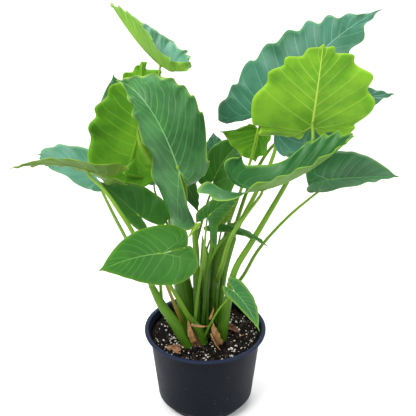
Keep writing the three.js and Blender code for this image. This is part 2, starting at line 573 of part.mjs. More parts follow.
// Leaves: a group at each junction, holding the blade and its stalk
const plant = new THREE.Group();
const stalkCutters = [...stemCutters];
for (const [name, shape] of Object.entries(LEAVES)) {
  const leaf = leafOf(shape);
  const group = new THREE.Group();
  group.name = name;
  const pale = ["top_left", "back_left", "lime_right", "centre_rear", "pale_right"].includes(name);
  const blade = solidOf(bladeGeometry(leaf, rowsOf(leaf)));
  const colour = pale ? COLOURS.paleBlade : COLOURS.blade;
  group.add(meshOf(`leaf_${name}_blade`, blade, matte(colour, 0.5), leaf.junction));
  const stalk = stalkSolid(leaf, stalkCutters);
  group.add(meshOf(`leaf_${name}_stalk`, stalk, matte(COLOURS.stalk), leaf.stalk.path[0]));
  const { path, radius } = leaf.stalk;
  const top = vec(leaf.junction);
  stalkCutters.push(solidOf(rodGeometry([...path, top.toArray()], radius, STALK_SIDES, STALK_STEPS, GAP)));
  plant.add(group);
}

// Dry leaves, scraps of sheath and the old stalk
const dry = new THREE.Group();
const ground = soilSolid([]).translate([0, 0, GAP]);
const groundCutters = [...stemCutters];
for (const [name, scrap] of Object.entries(SCRAPS)) {
  const whole = solidOf(bladeGeometry(leafOf(scrap), 2)).subtract(ground);
  const solid = largest(stalkCutters.reduce((left, cutter) => left.subtract(cutter), whole));
  dry.add(meshOf(name, solid, matte(COLOURS.dry, 0.8), scrap.junction));
}
const oldRod = (grow) =>
  solidOf(rodGeometry(OLD_STALK.path, OLD_STALK.radius, STALK_SIDES, STALK_STEPS, grow));
const oldStalk = largest(stalkCutters.reduce((left, cutter) => left.subtract(cutter), oldRod(0)));
groundCutters.push(oldRod(GAP));
dry.add(meshOf("old_stalk", oldStalk, matte(COLOURS.oldStalk, 0.7), OLD_STALK.path[0]));

const holder = new THREE.Group();
holder.add(meshOf("pot", potSolid(), matte(COLOURS.pot, 0.55)));
holder.add(meshOf("soil", soilSolid(groundCutters), matte(COLOURS.soil, 0.95), [0, 0, POT.floorHeight]));

const pottedAlocasia = new THREE.Group();
pottedAlocasia.name = "potted_alocasia";
pottedAlocasia.add(holder, stems, plant, dry);

export default pottedAlocasia;
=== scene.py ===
"""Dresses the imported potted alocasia: waved blades with veins, stalks, wrapped stems, soil and pot.

Lengths in the classes are millimetres in the part's own frame, +Z up, as in the part's source.
Meshes are written in metres.
"""

import logging
import math
from dataclasses import dataclass, field
from enum import Enum

import bpy
import numpy as np
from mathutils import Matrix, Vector


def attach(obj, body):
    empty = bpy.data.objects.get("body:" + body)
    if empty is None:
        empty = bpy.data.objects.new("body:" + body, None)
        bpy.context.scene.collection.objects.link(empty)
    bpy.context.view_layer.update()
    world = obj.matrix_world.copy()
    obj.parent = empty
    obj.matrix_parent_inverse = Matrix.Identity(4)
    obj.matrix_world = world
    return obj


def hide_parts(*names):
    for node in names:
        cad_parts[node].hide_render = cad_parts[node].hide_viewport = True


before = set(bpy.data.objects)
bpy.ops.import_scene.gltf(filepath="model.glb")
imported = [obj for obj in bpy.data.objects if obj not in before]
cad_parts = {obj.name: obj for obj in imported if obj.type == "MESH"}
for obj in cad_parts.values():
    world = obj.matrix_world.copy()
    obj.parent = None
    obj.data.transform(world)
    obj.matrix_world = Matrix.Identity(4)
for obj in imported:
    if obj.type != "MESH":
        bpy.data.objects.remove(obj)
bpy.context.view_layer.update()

LOG = logging.getLogger("potted_alocasia")
BODY = "root"
MM = 0.001

# Depth in metres that light reaches under a surface, and a speck's least radius and its spread in cells
GLOW_DEPTH = 0.004
SPECK_RADIUS = 0.08
SPECK_RANGE = 0.22

Array = np.ndarray
Material = bpy.types.Material
Node = bpy.types.Node
Socket = bpy.types.NodeSocket
Sockets = bpy.types.bpy_prop_collection
Tree = bpy.types.NodeTree
Colour = tuple[float, float, float]
Point = tuple[float, float, float]
Pair = tuple[float, float]


# Small numeric helpers


def unit(vectors: Array) -> Array:
    """Vectors of length one along the last axis."""
    return vectors / np.maximum(np.linalg.norm(vectors, axis=-1, keepdims=True), 1e-12)


def dot(a: Array, b: Array) -> Array:
    """Dot product along the last axis, which is kept."""
    return np.sum(a * b, axis=-1, keepdims=True)


def ease(value: Array, low: float, high: float) -> Array:
    """Smooth step from 0 at low to 1 at high."""
    t = np.clip((value - low) / (high - low), 0.0, 1.0)
    return t * t * (3 - 2 * t)


def swell(points: Array, scale: float, seed: int) -> Array:
    """Soft unevenness between about -1 and 1: a sum of sine waves of mixed directions.

    Args:
        points: places, in millimetres, with the last axis x, y, z.
        scale: length of the longest waves, in millimetres.
        seed: seed of the waves' directions and phases.

    Returns:
        One value for each place.
    """
    rng = np.random.default_rng(seed)
    total = np.zeros(points.shape[:-1])
    for k in range(6):
        direction = unit(rng.normal(size=3)) * 2 * math.pi / (scale * 0.72**k)
        total += 0.8**k * np.sin(points @ direction + rng.uniform(0, 2 * math.pi))
    return total / 2.6


def grid_triangles(rows: int, columns: int, start: int, wrap: bool, flip: bool) -> Array:
    """Triangles of a grid of points, two for each cell.

    Args:
        rows: number of rows of points.
        columns: number of points in a row.
        start: index of the first point.
        wrap: whether the last column joins the first.
        flip: whether the triangles turn the other way.

    Returns:
        Indices, three for each triangle.
    """
    i = np.arange(rows - 1)[:, None]
    j = np.arange(columns if wrap else columns - 1)[None, :]
    k = (j + 1) % columns
    a, b = start + i * columns + j, start + (i + 1) * columns + j
    c, d = start + (i + 1) * columns + k, start + i * columns + k
    tris = np.stack([np.stack([a, b, c], -1), np.stack([a, c, d], -1)], 2).reshape(-1, 3)
    return tris[:, ::-1] if flip else tris


@dataclass
class Skin:
    """A surface under construction: points, triangles and values that a material reads.

    Args:
        points: places in millimetres, one row each.
        triangles: indices of the points.
        values: named numbers, one for each point.
    """

    points: Array
    triangles: Array
    values: dict[str, Array] = field(default_factory=dict)

    def welded(self) -> tuple[Array, Array, dict[str, Array]]:
        """Points that coincide made one, and triangles with no area dropped.

        Returns:
            The points, the triangles, and the values at each triangle's corners.
        """
        keys = np.round(self.points * 2000).astype(np.int64)
        _, first, inverse = np.unique(keys, axis=0, return_index=True, return_inverse=True)
        tris = inverse.reshape(-1)[self.triangles]
        good = (tris[:, 0] != tris[:, 1]) & (tris[:, 1] != tris[:, 2]) & (tris[:, 2] != tris[:, 0])
        corners = self.triangles[good].reshape(-1)
        return self.points[first], tris[good], {k: v[corners] for k, v in self.values.items()}


def joined(skins: list[Skin]) -> Skin:
    """Several surfaces as one, with the values that they share.

    Args:
        skins: the surfaces.

    Returns:
        One surface, its triangles' indices moved on by the points before them.
    """
    starts = np.cumsum([0] + [len(s.points) for s in skins])
    names = set.intersection(*(set(s.values) for s in skins))
    return Skin(
        np.concatenate([s.points for s in skins]),
        np.concatenate([s.triangles + n for s, n in zip(skins, starts)]),
        {name: np.concatenate([s.values[name] for s in skins]) for name in names},
    )


def make_piece(
    name: str, skin: Skin, material: Material, nodes: tuple[str, ...] = ()
) -> bpy.types.Object:
    """A surface as a finished piece of the object, with its origin at the frame's.

    Args:
        name: the piece's name.
        skin: its surface.
        material: its finish.
        nodes: the CAD nodes that it stands for.

    Returns:
        The new object.
    """
    points, tris, values = skin.welded()
    mesh = bpy.data.meshes.new(name)
    mesh.vertices.add(len(points))
    mesh.vertices.foreach_set("co", (points * MM).astype(np.float32).ravel())
    mesh.loops.add(tris.size)
    mesh.loops.foreach_set("vertex_index", tris.astype(np.int32).ravel())
    mesh.polygons.add(len(tris))
    mesh.polygons.foreach_set("loop_start", np.arange(0, tris.size, 3, dtype=np.int32))
    mesh.polygons.foreach_set("loop_total", np.full(len(tris), 3, np.int32))
    mesh.polygons.foreach_set("use_smooth", np.ones(len(tris), bool))
    mesh.update(calc_edges=True)
    for key, numbers in values.items():
        attribute = mesh.attributes.new(key, "FLOAT", "CORNER")
        attribute.data.foreach_set("value", numbers.astype(np.float32))
    mesh.validate()
    mesh.materials.append(material)
    piece = bpy.data.objects.new(name, mesh)
    bpy.context.scene.collection.objects.link(piece)
    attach(piece, BODY)
    if nodes:
        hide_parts(*nodes)
    LOG.info("%s: %d triangles", name, len(tris))
    return piece


# Shader graphs


class Graph:
    """A node tree with short calls for the nodes that the finishes need."""

    def __init__(self, tree: Tree) -> None:
        """Wraps a node tree."""
        self.tree = tree

    def node(self, kind: str, **settings: object) -> Node:
        """A new node with the given properties.

        Args:
            kind: the node's type.
            settings: its properties by name.

        Returns:
            The node.
        """
        made = self.tree.nodes.new(kind)
        for key, value in settings.items():
            setattr(made, key, value)
        return made

    def feed(self, socket: Socket, value: object) -> None:
        """Links an output to a socket, or sets the socket's own value.

        Args:
            socket: the input socket.
            value: an output socket, a number or a colour.
        """
        if isinstance(value, Socket):
            self.tree.links.new(value, socket)
        elif isinstance(value, tuple) and len(value) == 3 and socket.type == "RGBA":
            socket.default_value = (*value, 1.0)
        else:
            socket.default_value = value

    def maths(self, kind: str, *terms: object, clamp: bool = False) -> Socket:
        """The result of a Math node.

        Args:
            kind: the node's operation.
            terms: its numbers or output sockets, in order.
            clamp: whether the result is kept between 0 and 1.

        Returns:
            The result's socket.
        """
        made = self.node("ShaderNodeMath", operation=kind, use_clamp=clamp)
        for socket, term in zip(made.inputs, terms):
            self.feed(socket, term)
        return made.outputs[0]

    def times(self, a: object, b: object) -> Socket:
        """The product of two numbers."""
        return self.maths("MULTIPLY", a, b)

    def scaled(self, value: object, gain: object, start: object) -> Socket:
        """A number times a gain, plus a start."""
        return self.maths("MULTIPLY_ADD", value, gain, start)

    def opposite(self, value: object) -> Socket:
        """One less a number."""
        return self.maths("SUBTRACT", 1.0, value)

    def step(self, value: object, low: object, high: object) -> Socket:
        """Smooth step of a value from 0 at low to 1 at high.

        Args:
            value: the value.
            low: where the step starts.
            high: where it ends.

        Returns:
            The step's socket.
        """
        made = self.node("ShaderNodeMapRange", interpolation_type="SMOOTHSTEP")
        for socket, term in zip(made.inputs, (value, low, high, 0.0, 1.0)):
            self.feed(socket, term)
        return made.outputs[0]

    def mix(self, share: object, a: object, b: object, blend: str = "MIX") -> Socket:
        """Two colours mixed by a share.

        Args:
            share: share of the second colour.
            a: the first colour.
            b: the second colour.
            blend: how the second is laid over the first.

        Returns:
            The colour's socket.
        """
        made = self.node("ShaderNodeMix", data_type="RGBA", blend_type=blend)
        self.feed(made.inputs[0], share)
        self.feed(made.inputs[6], a)
        self.feed(made.inputs[7], b)
        return made.outputs[2]

    def place(self) -> Socket:
        """Object coordinates, in metres."""
        return self.node("ShaderNodeTexCoord").outputs["Object"]

    def value(self, name: str) -> Socket:
        """A piece's own named value."""
        return self.node("ShaderNodeAttribute", attribute_name=name).outputs["Fac"]

    def noise(
        self, scale: float, detail: float = 3.0, rough: float = 0.55, stretch: Point = (1.0, 1.0, 1.0)
    ) -> Socket:
        """Noise over object coordinates.

        Args:
            scale: waves a metre.
            detail: finer layers of noise.
            rough: strength of each finer layer.
            stretch: what the three axes are multiplied by.

        Returns:
            The noise's socket, about 0.5 on average.
        """
        mapping = self.node("ShaderNodeMapping")
        self.feed(mapping.inputs["Vector"], self.place())
        mapping.inputs["Scale"].default_value = stretch
        made = self.node("ShaderNodeTexNoise")
        self.feed(made.inputs["Vector"], mapping.outputs[0])
        made.inputs["Scale"].default_value = scale
        made.inputs["Detail"].default_value = detail
        made.inputs["Roughness"].default_value = rough
        return made.outputs["Fac"]

    def bump(self, height: object, depth: float) -> Socket:
        """A normal from a height.

        Args:
            height: the height, from 0 to 1.
            depth: what 1 stands for, in metres.

        Returns:
            The normal's socket.
        """
        made = self.node("ShaderNodeBump")
        made.inputs["Strength"].default_value = 1.0
        made.inputs["Distance"].default_value = depth
        self.feed(made.inputs["Height"], height)
        return made.outputs["Normal"]

    def use(self, group: Tree, **inputs: object) -> Node:
        """A shader group placed in this tree.

        Args:
            group: the group.
            inputs: its inputs by name, with underscores for spaces.

        Returns:
            The group's node.
        """
        made = self.node("ShaderNodeGroup", node_tree=group)
        for key, value in inputs.items():
            self.feed(made.inputs[key.replace("_", " ")], value)
        return made

    def dress(
        self, shader: Node, colour: object, roughness: object, normal: object, specular: float = 0.5
    ) -> None:
        """Feeds a Principled shader's sockets.

        Args:
            shader: the shader node.
            colour: its base colour.
            roughness: its roughness.
            normal: its normal.
            specular: its specular level.
        """
        self.feed(shader.inputs["Base Color"], colour)
        self.feed(shader.inputs["Roughness"], roughness)
        self.feed(shader.inputs["Normal"], normal)
        shader.inputs["Specular IOR Level"].default_value = specular

    def glow(self, shader: Node, weight: float, radius: Point) -> None:
        """Sets the light that passes under a shader's surface.

        Args:
            shader: the shader node.
            weight: share of that light.
            radius: reach of red, green and blue, in shares of the glow's depth.
        """
        shader.inputs["Subsurface Weight"].default_value = weight
        shader.inputs["Subsurface Radius"].default_value = radius
        shader.inputs["Subsurface Scale"].default_value = GLOW_DEPTH


def new_material(name: str) -> tuple[Material, Graph, Node]:
    """A node material with only a Principled shader.

    Args:
        name: the material's name.

    Returns:
        The material, its graph and the shader node.
    """
    material = bpy.data.materials.new(name)
    material.use_nodes = True
    graph = Graph(material.node_tree)
    return material, graph, material.node_tree.nodes["Principled BSDF"]


def new_group(
    name: str, inputs: dict[str, float], outputs: tuple[str, ...]
) -> tuple[Tree, Graph, Node, Node]:
    """An empty shader group with number sockets.

    Args:
        name: the group's name.
        inputs: names and standard values of its inputs.
        outputs: names of its outputs.

    Returns:
        The group, its graph, and its input and output nodes.
    """
    tree = bpy.data.node_groups.new(name, "ShaderNodeTree")
    for key, value in inputs.items():
        socket = tree.interface.new_socket(name=key, in_out="INPUT", socket_type="NodeSocketFloat")
        socket.default_value = value
    for key in outputs:
        tree.interface.new_socket(name=key, in_out="OUTPUT", socket_type="NodeSocketFloat")
    graph = Graph(tree)
    return tree, graph, graph.node("NodeGroupInput"), graph.node("NodeGroupOutput")


@dataclass(frozen=True)
class VeinSize:
    """How the vein masks are drawn, in millimetres and in shares of a line's width.

    A side vein loses the share thinning of its width on the way out, and dies away over the fade's
    distances from the margin. Core and rib_core are the full-strength shares of a line, halo is the
    width of the paler zone in line widths, and border the depth of the zone inside the margin. The
    net of fine veins has net_scale cells a metre, with lines net_edge of a cell wide.
    """

    thinning: float = 0.6
    fade: Pair = (0.5, 6.0)
    core: float = 0.35
    rib_core: float = 0.45
    halo: float = 6.0
    border: float = 9.0
    net_scale: float = 170.0
    net_edge: float = 0.12


def vein_group(size: VeinSize = VeinSize()) -> Tree:
    """Masks of a leaf's veins, margin and upper side, from the values on its mesh.

    A side vein is drawn where the vein count is near a whole number: its distance in millimetres is
    the remainder times the local spacing. The ribs, the margin and the border use their own
    distances, and each mask falls smoothly from 1 on the line to 0 at its width.

    Args:
        size: how the masks are drawn.

    Returns:
        The group, with outputs Vein, Halo, Rib, Margin, Border, Upper and Net.
    """
    tree, g, given, out = new_group(
        "leaf_veins",
        {"Vein Width": 0.8, "Rib Width": 1.9, "Margin Width": 1.1},
        ("Vein", "Halo", "Rib", "Margin", "Border", "Upper", "Net"),
    )
    count = g.value("vein_count")
    across = g.maths("ABSOLUTE", g.maths("SUBTRACT", count, g.maths("ROUND", count)))
    away = g.times(across, g.value("vein_gap"))
    edge, rib = g.value("edge_mm"), g.value("rib_mm")
    fade = g.step(edge, *size.fade)
    width = g.times(given.outputs["Vein Width"], g.scaled(g.value("reach"), -size.thinning, 1.0))
    wide = g.times(given.outputs["Rib Width"], g.value("rib_size"))
    net = g.node("ShaderNodeTexVoronoi", feature="DISTANCE_TO_EDGE")
    g.feed(net.inputs["Vector"], g.place())
    net.inputs["Scale"].default_value = size.net_scale
    masks = {
        "Vein": g.times(g.opposite(g.step(away, g.times(width, size.core), width)), fade),
        "Halo": g.times(g.opposite(g.step(away, width, g.times(width, size.halo))), fade),
        "Rib": g.opposite(g.step(rib, g.times(wide, size.rib_core), wide)),
        "Margin": g.opposite(g.step(edge, 0.0, given.outputs["Margin Width"])),
        "Border": g.opposite(g.step(edge, 0.0, size.border)),
        "Upper": g.value("upper"),
        "Net": g.step(net.outputs["Distance"], 0.0, size.net_edge),
    }
    for name, mask in masks.items():
        g.feed(out.inputs[name], mask)
    return tree


def speck_group() -> Tree:
    """Sparse small specks over object coordinates, one in each chosen cell.

    Returns:
        The group, with inputs Scale, in cells a metre, and Amount, and the output Specks.
    """
    tree, g, given, out = new_group("specks", {"Scale": 300.0, "Amount": 0.1}, ("Specks",))
    cells = g.node("ShaderNodeTexVoronoi", feature="F1")
    g.feed(cells.inputs["Vector"], g.place())
    g.feed(cells.inputs["Scale"], given.outputs["Scale"])
    pick = g.node("ShaderNodeSeparateColor")
    g.feed(pick.inputs[0], cells.outputs["Color"])
    chosen = g.maths("LESS_THAN", pick.outputs[0], given.outputs["Amount"])
    radius = g.scaled(pick.outputs[1], SPECK_RANGE, SPECK_RADIUS)
    g.feed(out.inputs["Specks"], g.times(chosen, g.maths("LESS_THAN", cells.outputs["Distance"], radius)))
    return tree


class Effects:
    """The shader groups that several finishes share, each built once."""

    def __init__(self) -> None:
        """Builds the groups."""
        self.veins = vein_group()
        self.specks = speck_group()


@dataclass(frozen=True)
class LeafFinish:
    """Waxy leaf skin with veins, another colour on each side, and a pale margin.

    Upper_lines and under_lines are the shares of the veins' colour on the side veins and on the
    ribs. Halo, border and rim are the shares of the zones beside the veins and the margin. Sheen is
    the specular level, glow the share of light under the skin, and shade what fine mottling
    multiplies the colour by.
    """

    name: str
    upper: Colour
    upper_deep: Colour
    upper_vein: Colour
    under: Colour
    under_deep: Colour
    under_vein: Colour
    margin: Colour
    roughness: float = 0.42
    glow: float = 0.12
    sheen: float = 0.16
    border: float = 0.16
    margin_width: float = 1.1
    rib_width: float = 1.9
    upper_lines: Pair = (0.5, 0.7)
    under_lines: Pair = (0.7, 1.0)
    halo: float = 0.06
    rim: float = 0.85
    under_roughness: float = 0.14
    shade: Colour = (0.78, 0.82, 0.7)
    relief: float = 0.00012

    def side(
        self, g: Graph, veins: Sockets, drift: Socket,
        colours: tuple[Colour, Colour, Colour], lines: Pair,
    ) -> Socket:
        """Colour of one side: the plain one drifts to the deep one, with the veins drawn over it.

        Args:
            g: the material's graph.
            veins: the vein masks.
            drift: share of the deep colour.
            colours: the plain, the deep and the veins' colour.
            lines: shares of the veins' colour on the side veins and on the ribs.

        Returns:
            The colour.
        """
        plain, deep, vein = colours
        colour = g.mix(g.times(veins["Halo"], self.halo), g.mix(drift, plain, deep), vein)
        drawn = g.maths("MAXIMUM", g.times(veins["Vein"], lines[0]), g.times(veins["Rib"], lines[1]))
        return g.mix(drawn, colour, vein)

    def material(self, effects: Effects) -> Material:
        """The finish as a material.

        Args:
            effects: the shared shader groups.

        Returns:
            The material.
        """
        material, g, shader = new_material(self.name)
        veins = g.use(effects.veins, Margin_Width=self.margin_width, Rib_Width=self.rib_width).outputs
        drift = g.step(g.noise(13.0, detail=4.0), 0.35, 0.68)
        fine = g.noise(240.0, detail=3.0)
        upper = (self.upper, self.upper_deep, self.upper_vein)
        under = (self.under, self.under_deep, self.under_vein)
        top = self.side(g, veins, drift, upper, self.upper_lines)
        low = self.side(g, veins, drift, under, self.under_lines)
        colour = g.mix(veins["Upper"], low, top)
        colour = g.mix(g.times(veins["Border"], self.border), colour, self.margin)
        colour = g.mix(g.times(veins["Margin"], self.rim), colour, self.margin)
        colour = g.mix(g.scaled(fine, 0.5, -0.12), colour, g.mix(1.0, colour, self.shade, "MULTIPLY"))
        rough = g.scaled(fine, 0.12, self.roughness - 0.06)
        rough = g.scaled(g.opposite(veins["Upper"]), self.under_roughness, rough)
        height = g.scaled(veins["Net"], 0.5, g.times(fine, 0.5))
        g.dress(shader, colour, rough, g.bump(height, self.relief), self.sheen)
        g.glow(shader, self.glow, (0.5, 1.0, 0.15))
        return material


@dataclass(frozen=True)
class FleshFinish:
    """Smooth watery flesh of stems and stalks, with fine streaks along it and a few brown marks.

    Streaks is how many times the streaks' noise repeats round the piece and along it.
    """

    name: str
    low: Colour
    high: Colour
    streak: Colour
    roughness: float = 0.38
    streaks: Pair = (26.0, 3.0)
    streak_share: float = 0.6
    mark: Colour = (0.16, 0.12, 0.04)
    mark_share: float = 0.35
    relief: float = 0.0004

    def material(self, effects: Effects) -> Material:
        """The finish as a material, its colour running from low to high along the piece's own way.

        Args:
            effects: the shared shader groups.

        Returns:
            The material.
        """
        material, g, shader = new_material(self.name)
        way, turn = g.value("way"), g.value("turn")
        lines = g.node("ShaderNodeCombineXYZ")
        g.feed(lines.inputs[0], g.times(turn, self.streaks[0]))
        g.feed(lines.inputs[1], g.times(way, self.streaks[1]))
        streaks = g.node("ShaderNodeTexNoise")
        g.feed(streaks.inputs["Vector"], lines.outputs[0])
        streaks.inputs["Scale"].default_value = 1.0
        streaks.inputs["Detail"].default_value = 4.0
        blotch = g.noise(60.0, detail=4.0)
        share = g.maths("MULTIPLY_ADD", blotch, 0.5, g.maths("SUBTRACT", way, 0.25), clamp=True)
        colour = g.mix(share, self.low, self.high)
        shown = g.step(streaks.outputs["Fac"], 0.45, 0.7)
        colour = g.mix(g.times(shown, self.streak_share), colour, self.streak)
        marks = g.use(effects.specks, Scale=420.0, Amount=0.05).outputs[0]
        colour = g.mix(g.times(marks, self.mark_share), colour, self.mark)
        rough = g.scaled(blotch, 0.15, self.roughness - 0.05)
        g.dress(shader, colour, rough, g.bump(streaks.outputs["Fac"], self.relief), 0.18)
        g.glow(shader, 0.1, (0.6, 1.0, 0.2))
        return material


@dataclass(frozen=True)
class PaperFinish:
    """Dry papery tissue with dark veins, pale fibres and brown blotches."""

    name: str
    light: Colour
    dark: Colour
    fibre: Colour
    vein_share: float = 0.5
    fibre_share: float = 0.4
    roughness: float = 0.62
    relief: float = 0.0005

    def material(self, effects: Effects) -> Material:
        """The finish as a material.

        Args:
            effects: the shared shader groups.

        Returns:
            The material.
        """
        material, g, shader = new_material(self.name)
        veins = g.use(effects.veins, Vein_Width=0.6).outputs
        blotch = g.step(g.noise(110.0, detail=5.0, rough=0.6), 0.35, 0.65)
        fibre = g.noise(420.0, detail=4.0, rough=0.6, stretch=(1.0, 1.0, 0.25))
        colour = g.mix(blotch, self.light, self.dark)
        colour = g.mix(g.times(veins["Vein"], self.vein_share), colour, self.dark)
        colour = g.mix(g.times(fibre, self.fibre_share), colour, self.fibre)
        normal = g.bump(g.maths("ADD", fibre, blotch), self.relief)
        g.dress(shader, colour, g.scaled(fibre, 0.2, self.roughness), normal)
        return material


@dataclass(frozen=True)
class PlasticFinish:
    """Moulded pot plastic: dark, faintly grained, with dust and pale scuffs.

    The rim colour is a painted bluish highlight on the lip, which comes in over the highlight's range of
    heights, in metres. Scuff, dust_share and fine_share are the shares of the dust's colour on scuffs and on
    the large and the fine specks.
    """

    name: str
    body: Colour
    worn: Colour
    # Painted bluish highlight along the top of the lip
    rim: Colour
    dust: Colour
    rim_highlight_level: Pair = (0.1725, 0.1765)
    rim_highlight_share: float = 0.85
    scuff: float = 0.05
    dust_share: float = 0.28
    fine_share: float = 0.35
    roughness: float = 0.46
    specular: float = 0.08
    relief: float = 0.00007

    def material(self, effects: Effects) -> Material:
        """The finish as a material.

        Args:
            effects: the shared shader groups.

        Returns:
            The material.
        """
        material, g, shader = new_material(self.name)
        drift = g.step(g.noise(14.0, detail=4.0), 0.3, 0.7)
        scuff = g.step(g.noise(38.0, detail=6.0, rough=0.65, stretch=(1.0, 1.0, 4.0)), 0.56, 0.75)
        grain = g.noise(1500.0, detail=2.0)
        specks = g.use(effects.specks, Scale=150.0, Amount=0.06).outputs[0]
        fine = g.use(effects.specks, Scale=420.0, Amount=0.05).outputs[0]
        height = g.node("ShaderNodeSeparateXYZ")
        g.feed(height.inputs[0], g.place())
        colour = g.mix(drift, self.body, self.worn)
        # Painted highlight: the bluish band over the top of the lip
        colour = g.mix(g.times(g.step(height.outputs[2], *self.rim_highlight_level), self.rim_highlight_share), colour, self.rim)
        for mask, share in ((scuff, self.scuff), (specks, self.dust_share), (fine, self.fine_share)):
            colour = g.mix(g.times(mask, share), colour, self.dust)
        rough = g.scaled(drift, 0.1, g.scaled(scuff, 0.12, self.roughness))
        g.dress(shader, colour, rough, g.bump(g.scaled(drift, 0.8, grain), self.relief), self.specular)
        return material


@dataclass(frozen=True)
class SoilFinish:
    """Moist dark peat with paler fibres and small bits."""

    name: str
    dark: Colour
    light: Colour
    bit: Colour = (0.12, 0.11, 0.09)
    bit_share: float = 0.4
    roughness: float = 0.65
    specular: float = 0.05
    relief: float = 0.0012

    def material(self, effects: Effects) -> Material:
        """The finish as a material.

        Args:
            effects: the shared shader groups.

        Returns:
            The material.
        """
        material, g, shader = new_material(self.name)
        clump = g.step(g.noise(90.0, detail=6.0, rough=0.65), 0.35, 0.7)
        fibre = g.noise(700.0, detail=5.0, rough=0.7)
        bits = g.use(effects.specks, Scale=520.0, Amount=0.07).outputs[0]
        colour = g.mix(g.times(clump, fibre), self.dark, self.light)
        colour = g.mix(g.times(bits, self.bit_share), colour, self.bit)
        normal = g.bump(g.maths("ADD", fibre, clump), self.relief)
        g.dress(shader, colour, g.scaled(clump, 0.25, self.roughness), normal, self.specular)
        return material


@dataclass(frozen=True)
class GrainFinish:
    """Porous mineral or bark grain whose tone changes from grain to grain."""

    name: str
    light: Colour
    dark: Colour
    pore_share: float = 0.3
    roughness: float = 0.8
    specular: float = 0.15
    relief: float = 0.0005

    def material(self, effects: Effects) -> Material:
        """The finish as a material.

        Args:
            effects: the shared shader groups, none of which it needs.

        Returns:
            The material.
        """
        material, g, shader = new_material(self.name)
        pores = g.noise(1300.0, detail=4.0, rough=0.7)
        colour = g.mix(g.value("tone"), self.light, self.dark)
        colour = g.mix(g.times(g.step(pores, 0.5, 0.7), self.pore_share), colour, self.dark)
        rough = g.scaled(pores, 0.12, self.roughness)
        g.dress(shader, colour, rough, g.bump(pores, self.relief), self.specular)
        return material


# Outline of half a leaf, as in the part's source: across as a share of the half's width, and along as a
# share of the midrib or of the lobe's length. WIDEST, LOBE_TIP and EDGE_END are places on it, counted
# in points from the tip; COSTA is how far the lobe's own rib reaches to the lobe's tip. BLADE is a blade's
# thickness and GAP the part's clearance between a blade and its stalk, in millimetres.

BLADE = 1.1
GAP = 0.3
WIDEST = 6
LOBE_TIP = 11
EDGE_END = 15
COSTA = 0.78
FRONT_EDGE = ((0, 1), (0.06, 0.92), (0.25, 0.82), (0.48, 0.69), (0.69, 0.54), (0.86, 0.37), (0.96, 0.18))
LOBE_EDGE = (
    (1, -0.04), (0.98, -0.33), (0.89, -0.62), (0.72, -0.87), (0.48, -1),
    (0.28, -0.9), (0.16, -0.66), (0.07, -0.36), (0, 0),
)


class Side(Enum):
    """Half of a leaf, seen on its upper side with the tip away."""

    LEFT = -1
    RIGHT = 1

    @property
    def half(self) -> int:
        """Place of the half's own numbers in a pair."""
        return 0 if self is Side.LEFT else 1


def through(points: Array, parameter: Array) -> Array:
    """Places on a smooth line through points, where the parameter counts the points from 0.

    Each stretch is the uniform cubic through its two points, with each end's slope half the step
    between that point's neighbours.

    Args:
        points: one row for each point.
        parameter: numbers from 0 to the number of points less one.

    Returns:
        One row for each parameter.
    """
    last = len(points) - 1
    i = np.minimum(np.floor(parameter).astype(int), last - 1)
    w = (parameter - i)[..., None]
    p0, p1 = points[np.maximum(i - 1, 0)], points[i]
    p2, p3 = points[i + 1], points[np.minimum(i + 2, last)]
    pull = (2 * p0 - 5 * p1 + 4 * p2 - p3) * w**2
    return 0.5 * (2 * p1 + (p2 - p0) * w + pull + (3 * p1 - p0 - 3 * p2 + p3) * w**3)


# Rings of a rod's rounded ends: widths and rises in shares of the radius
CAP_WIDTHS = np.array([0.93, 0.6, 0.0])
CAP_RISES = np.array([0.35, 0.6, 0.75])

# Rings along a rod and facets around it
STEM_GRID = (150, 40)
STALK_GRID = (72, 16)
INNER_GRID = (60, 14)
TWIG_GRID = (30, 8)

# Rows from rib to edge and columns for each wave of a small blade and of a fallen one
SMALL_GRID = (8, 10)
SCRAP_GRID = (8, 14)


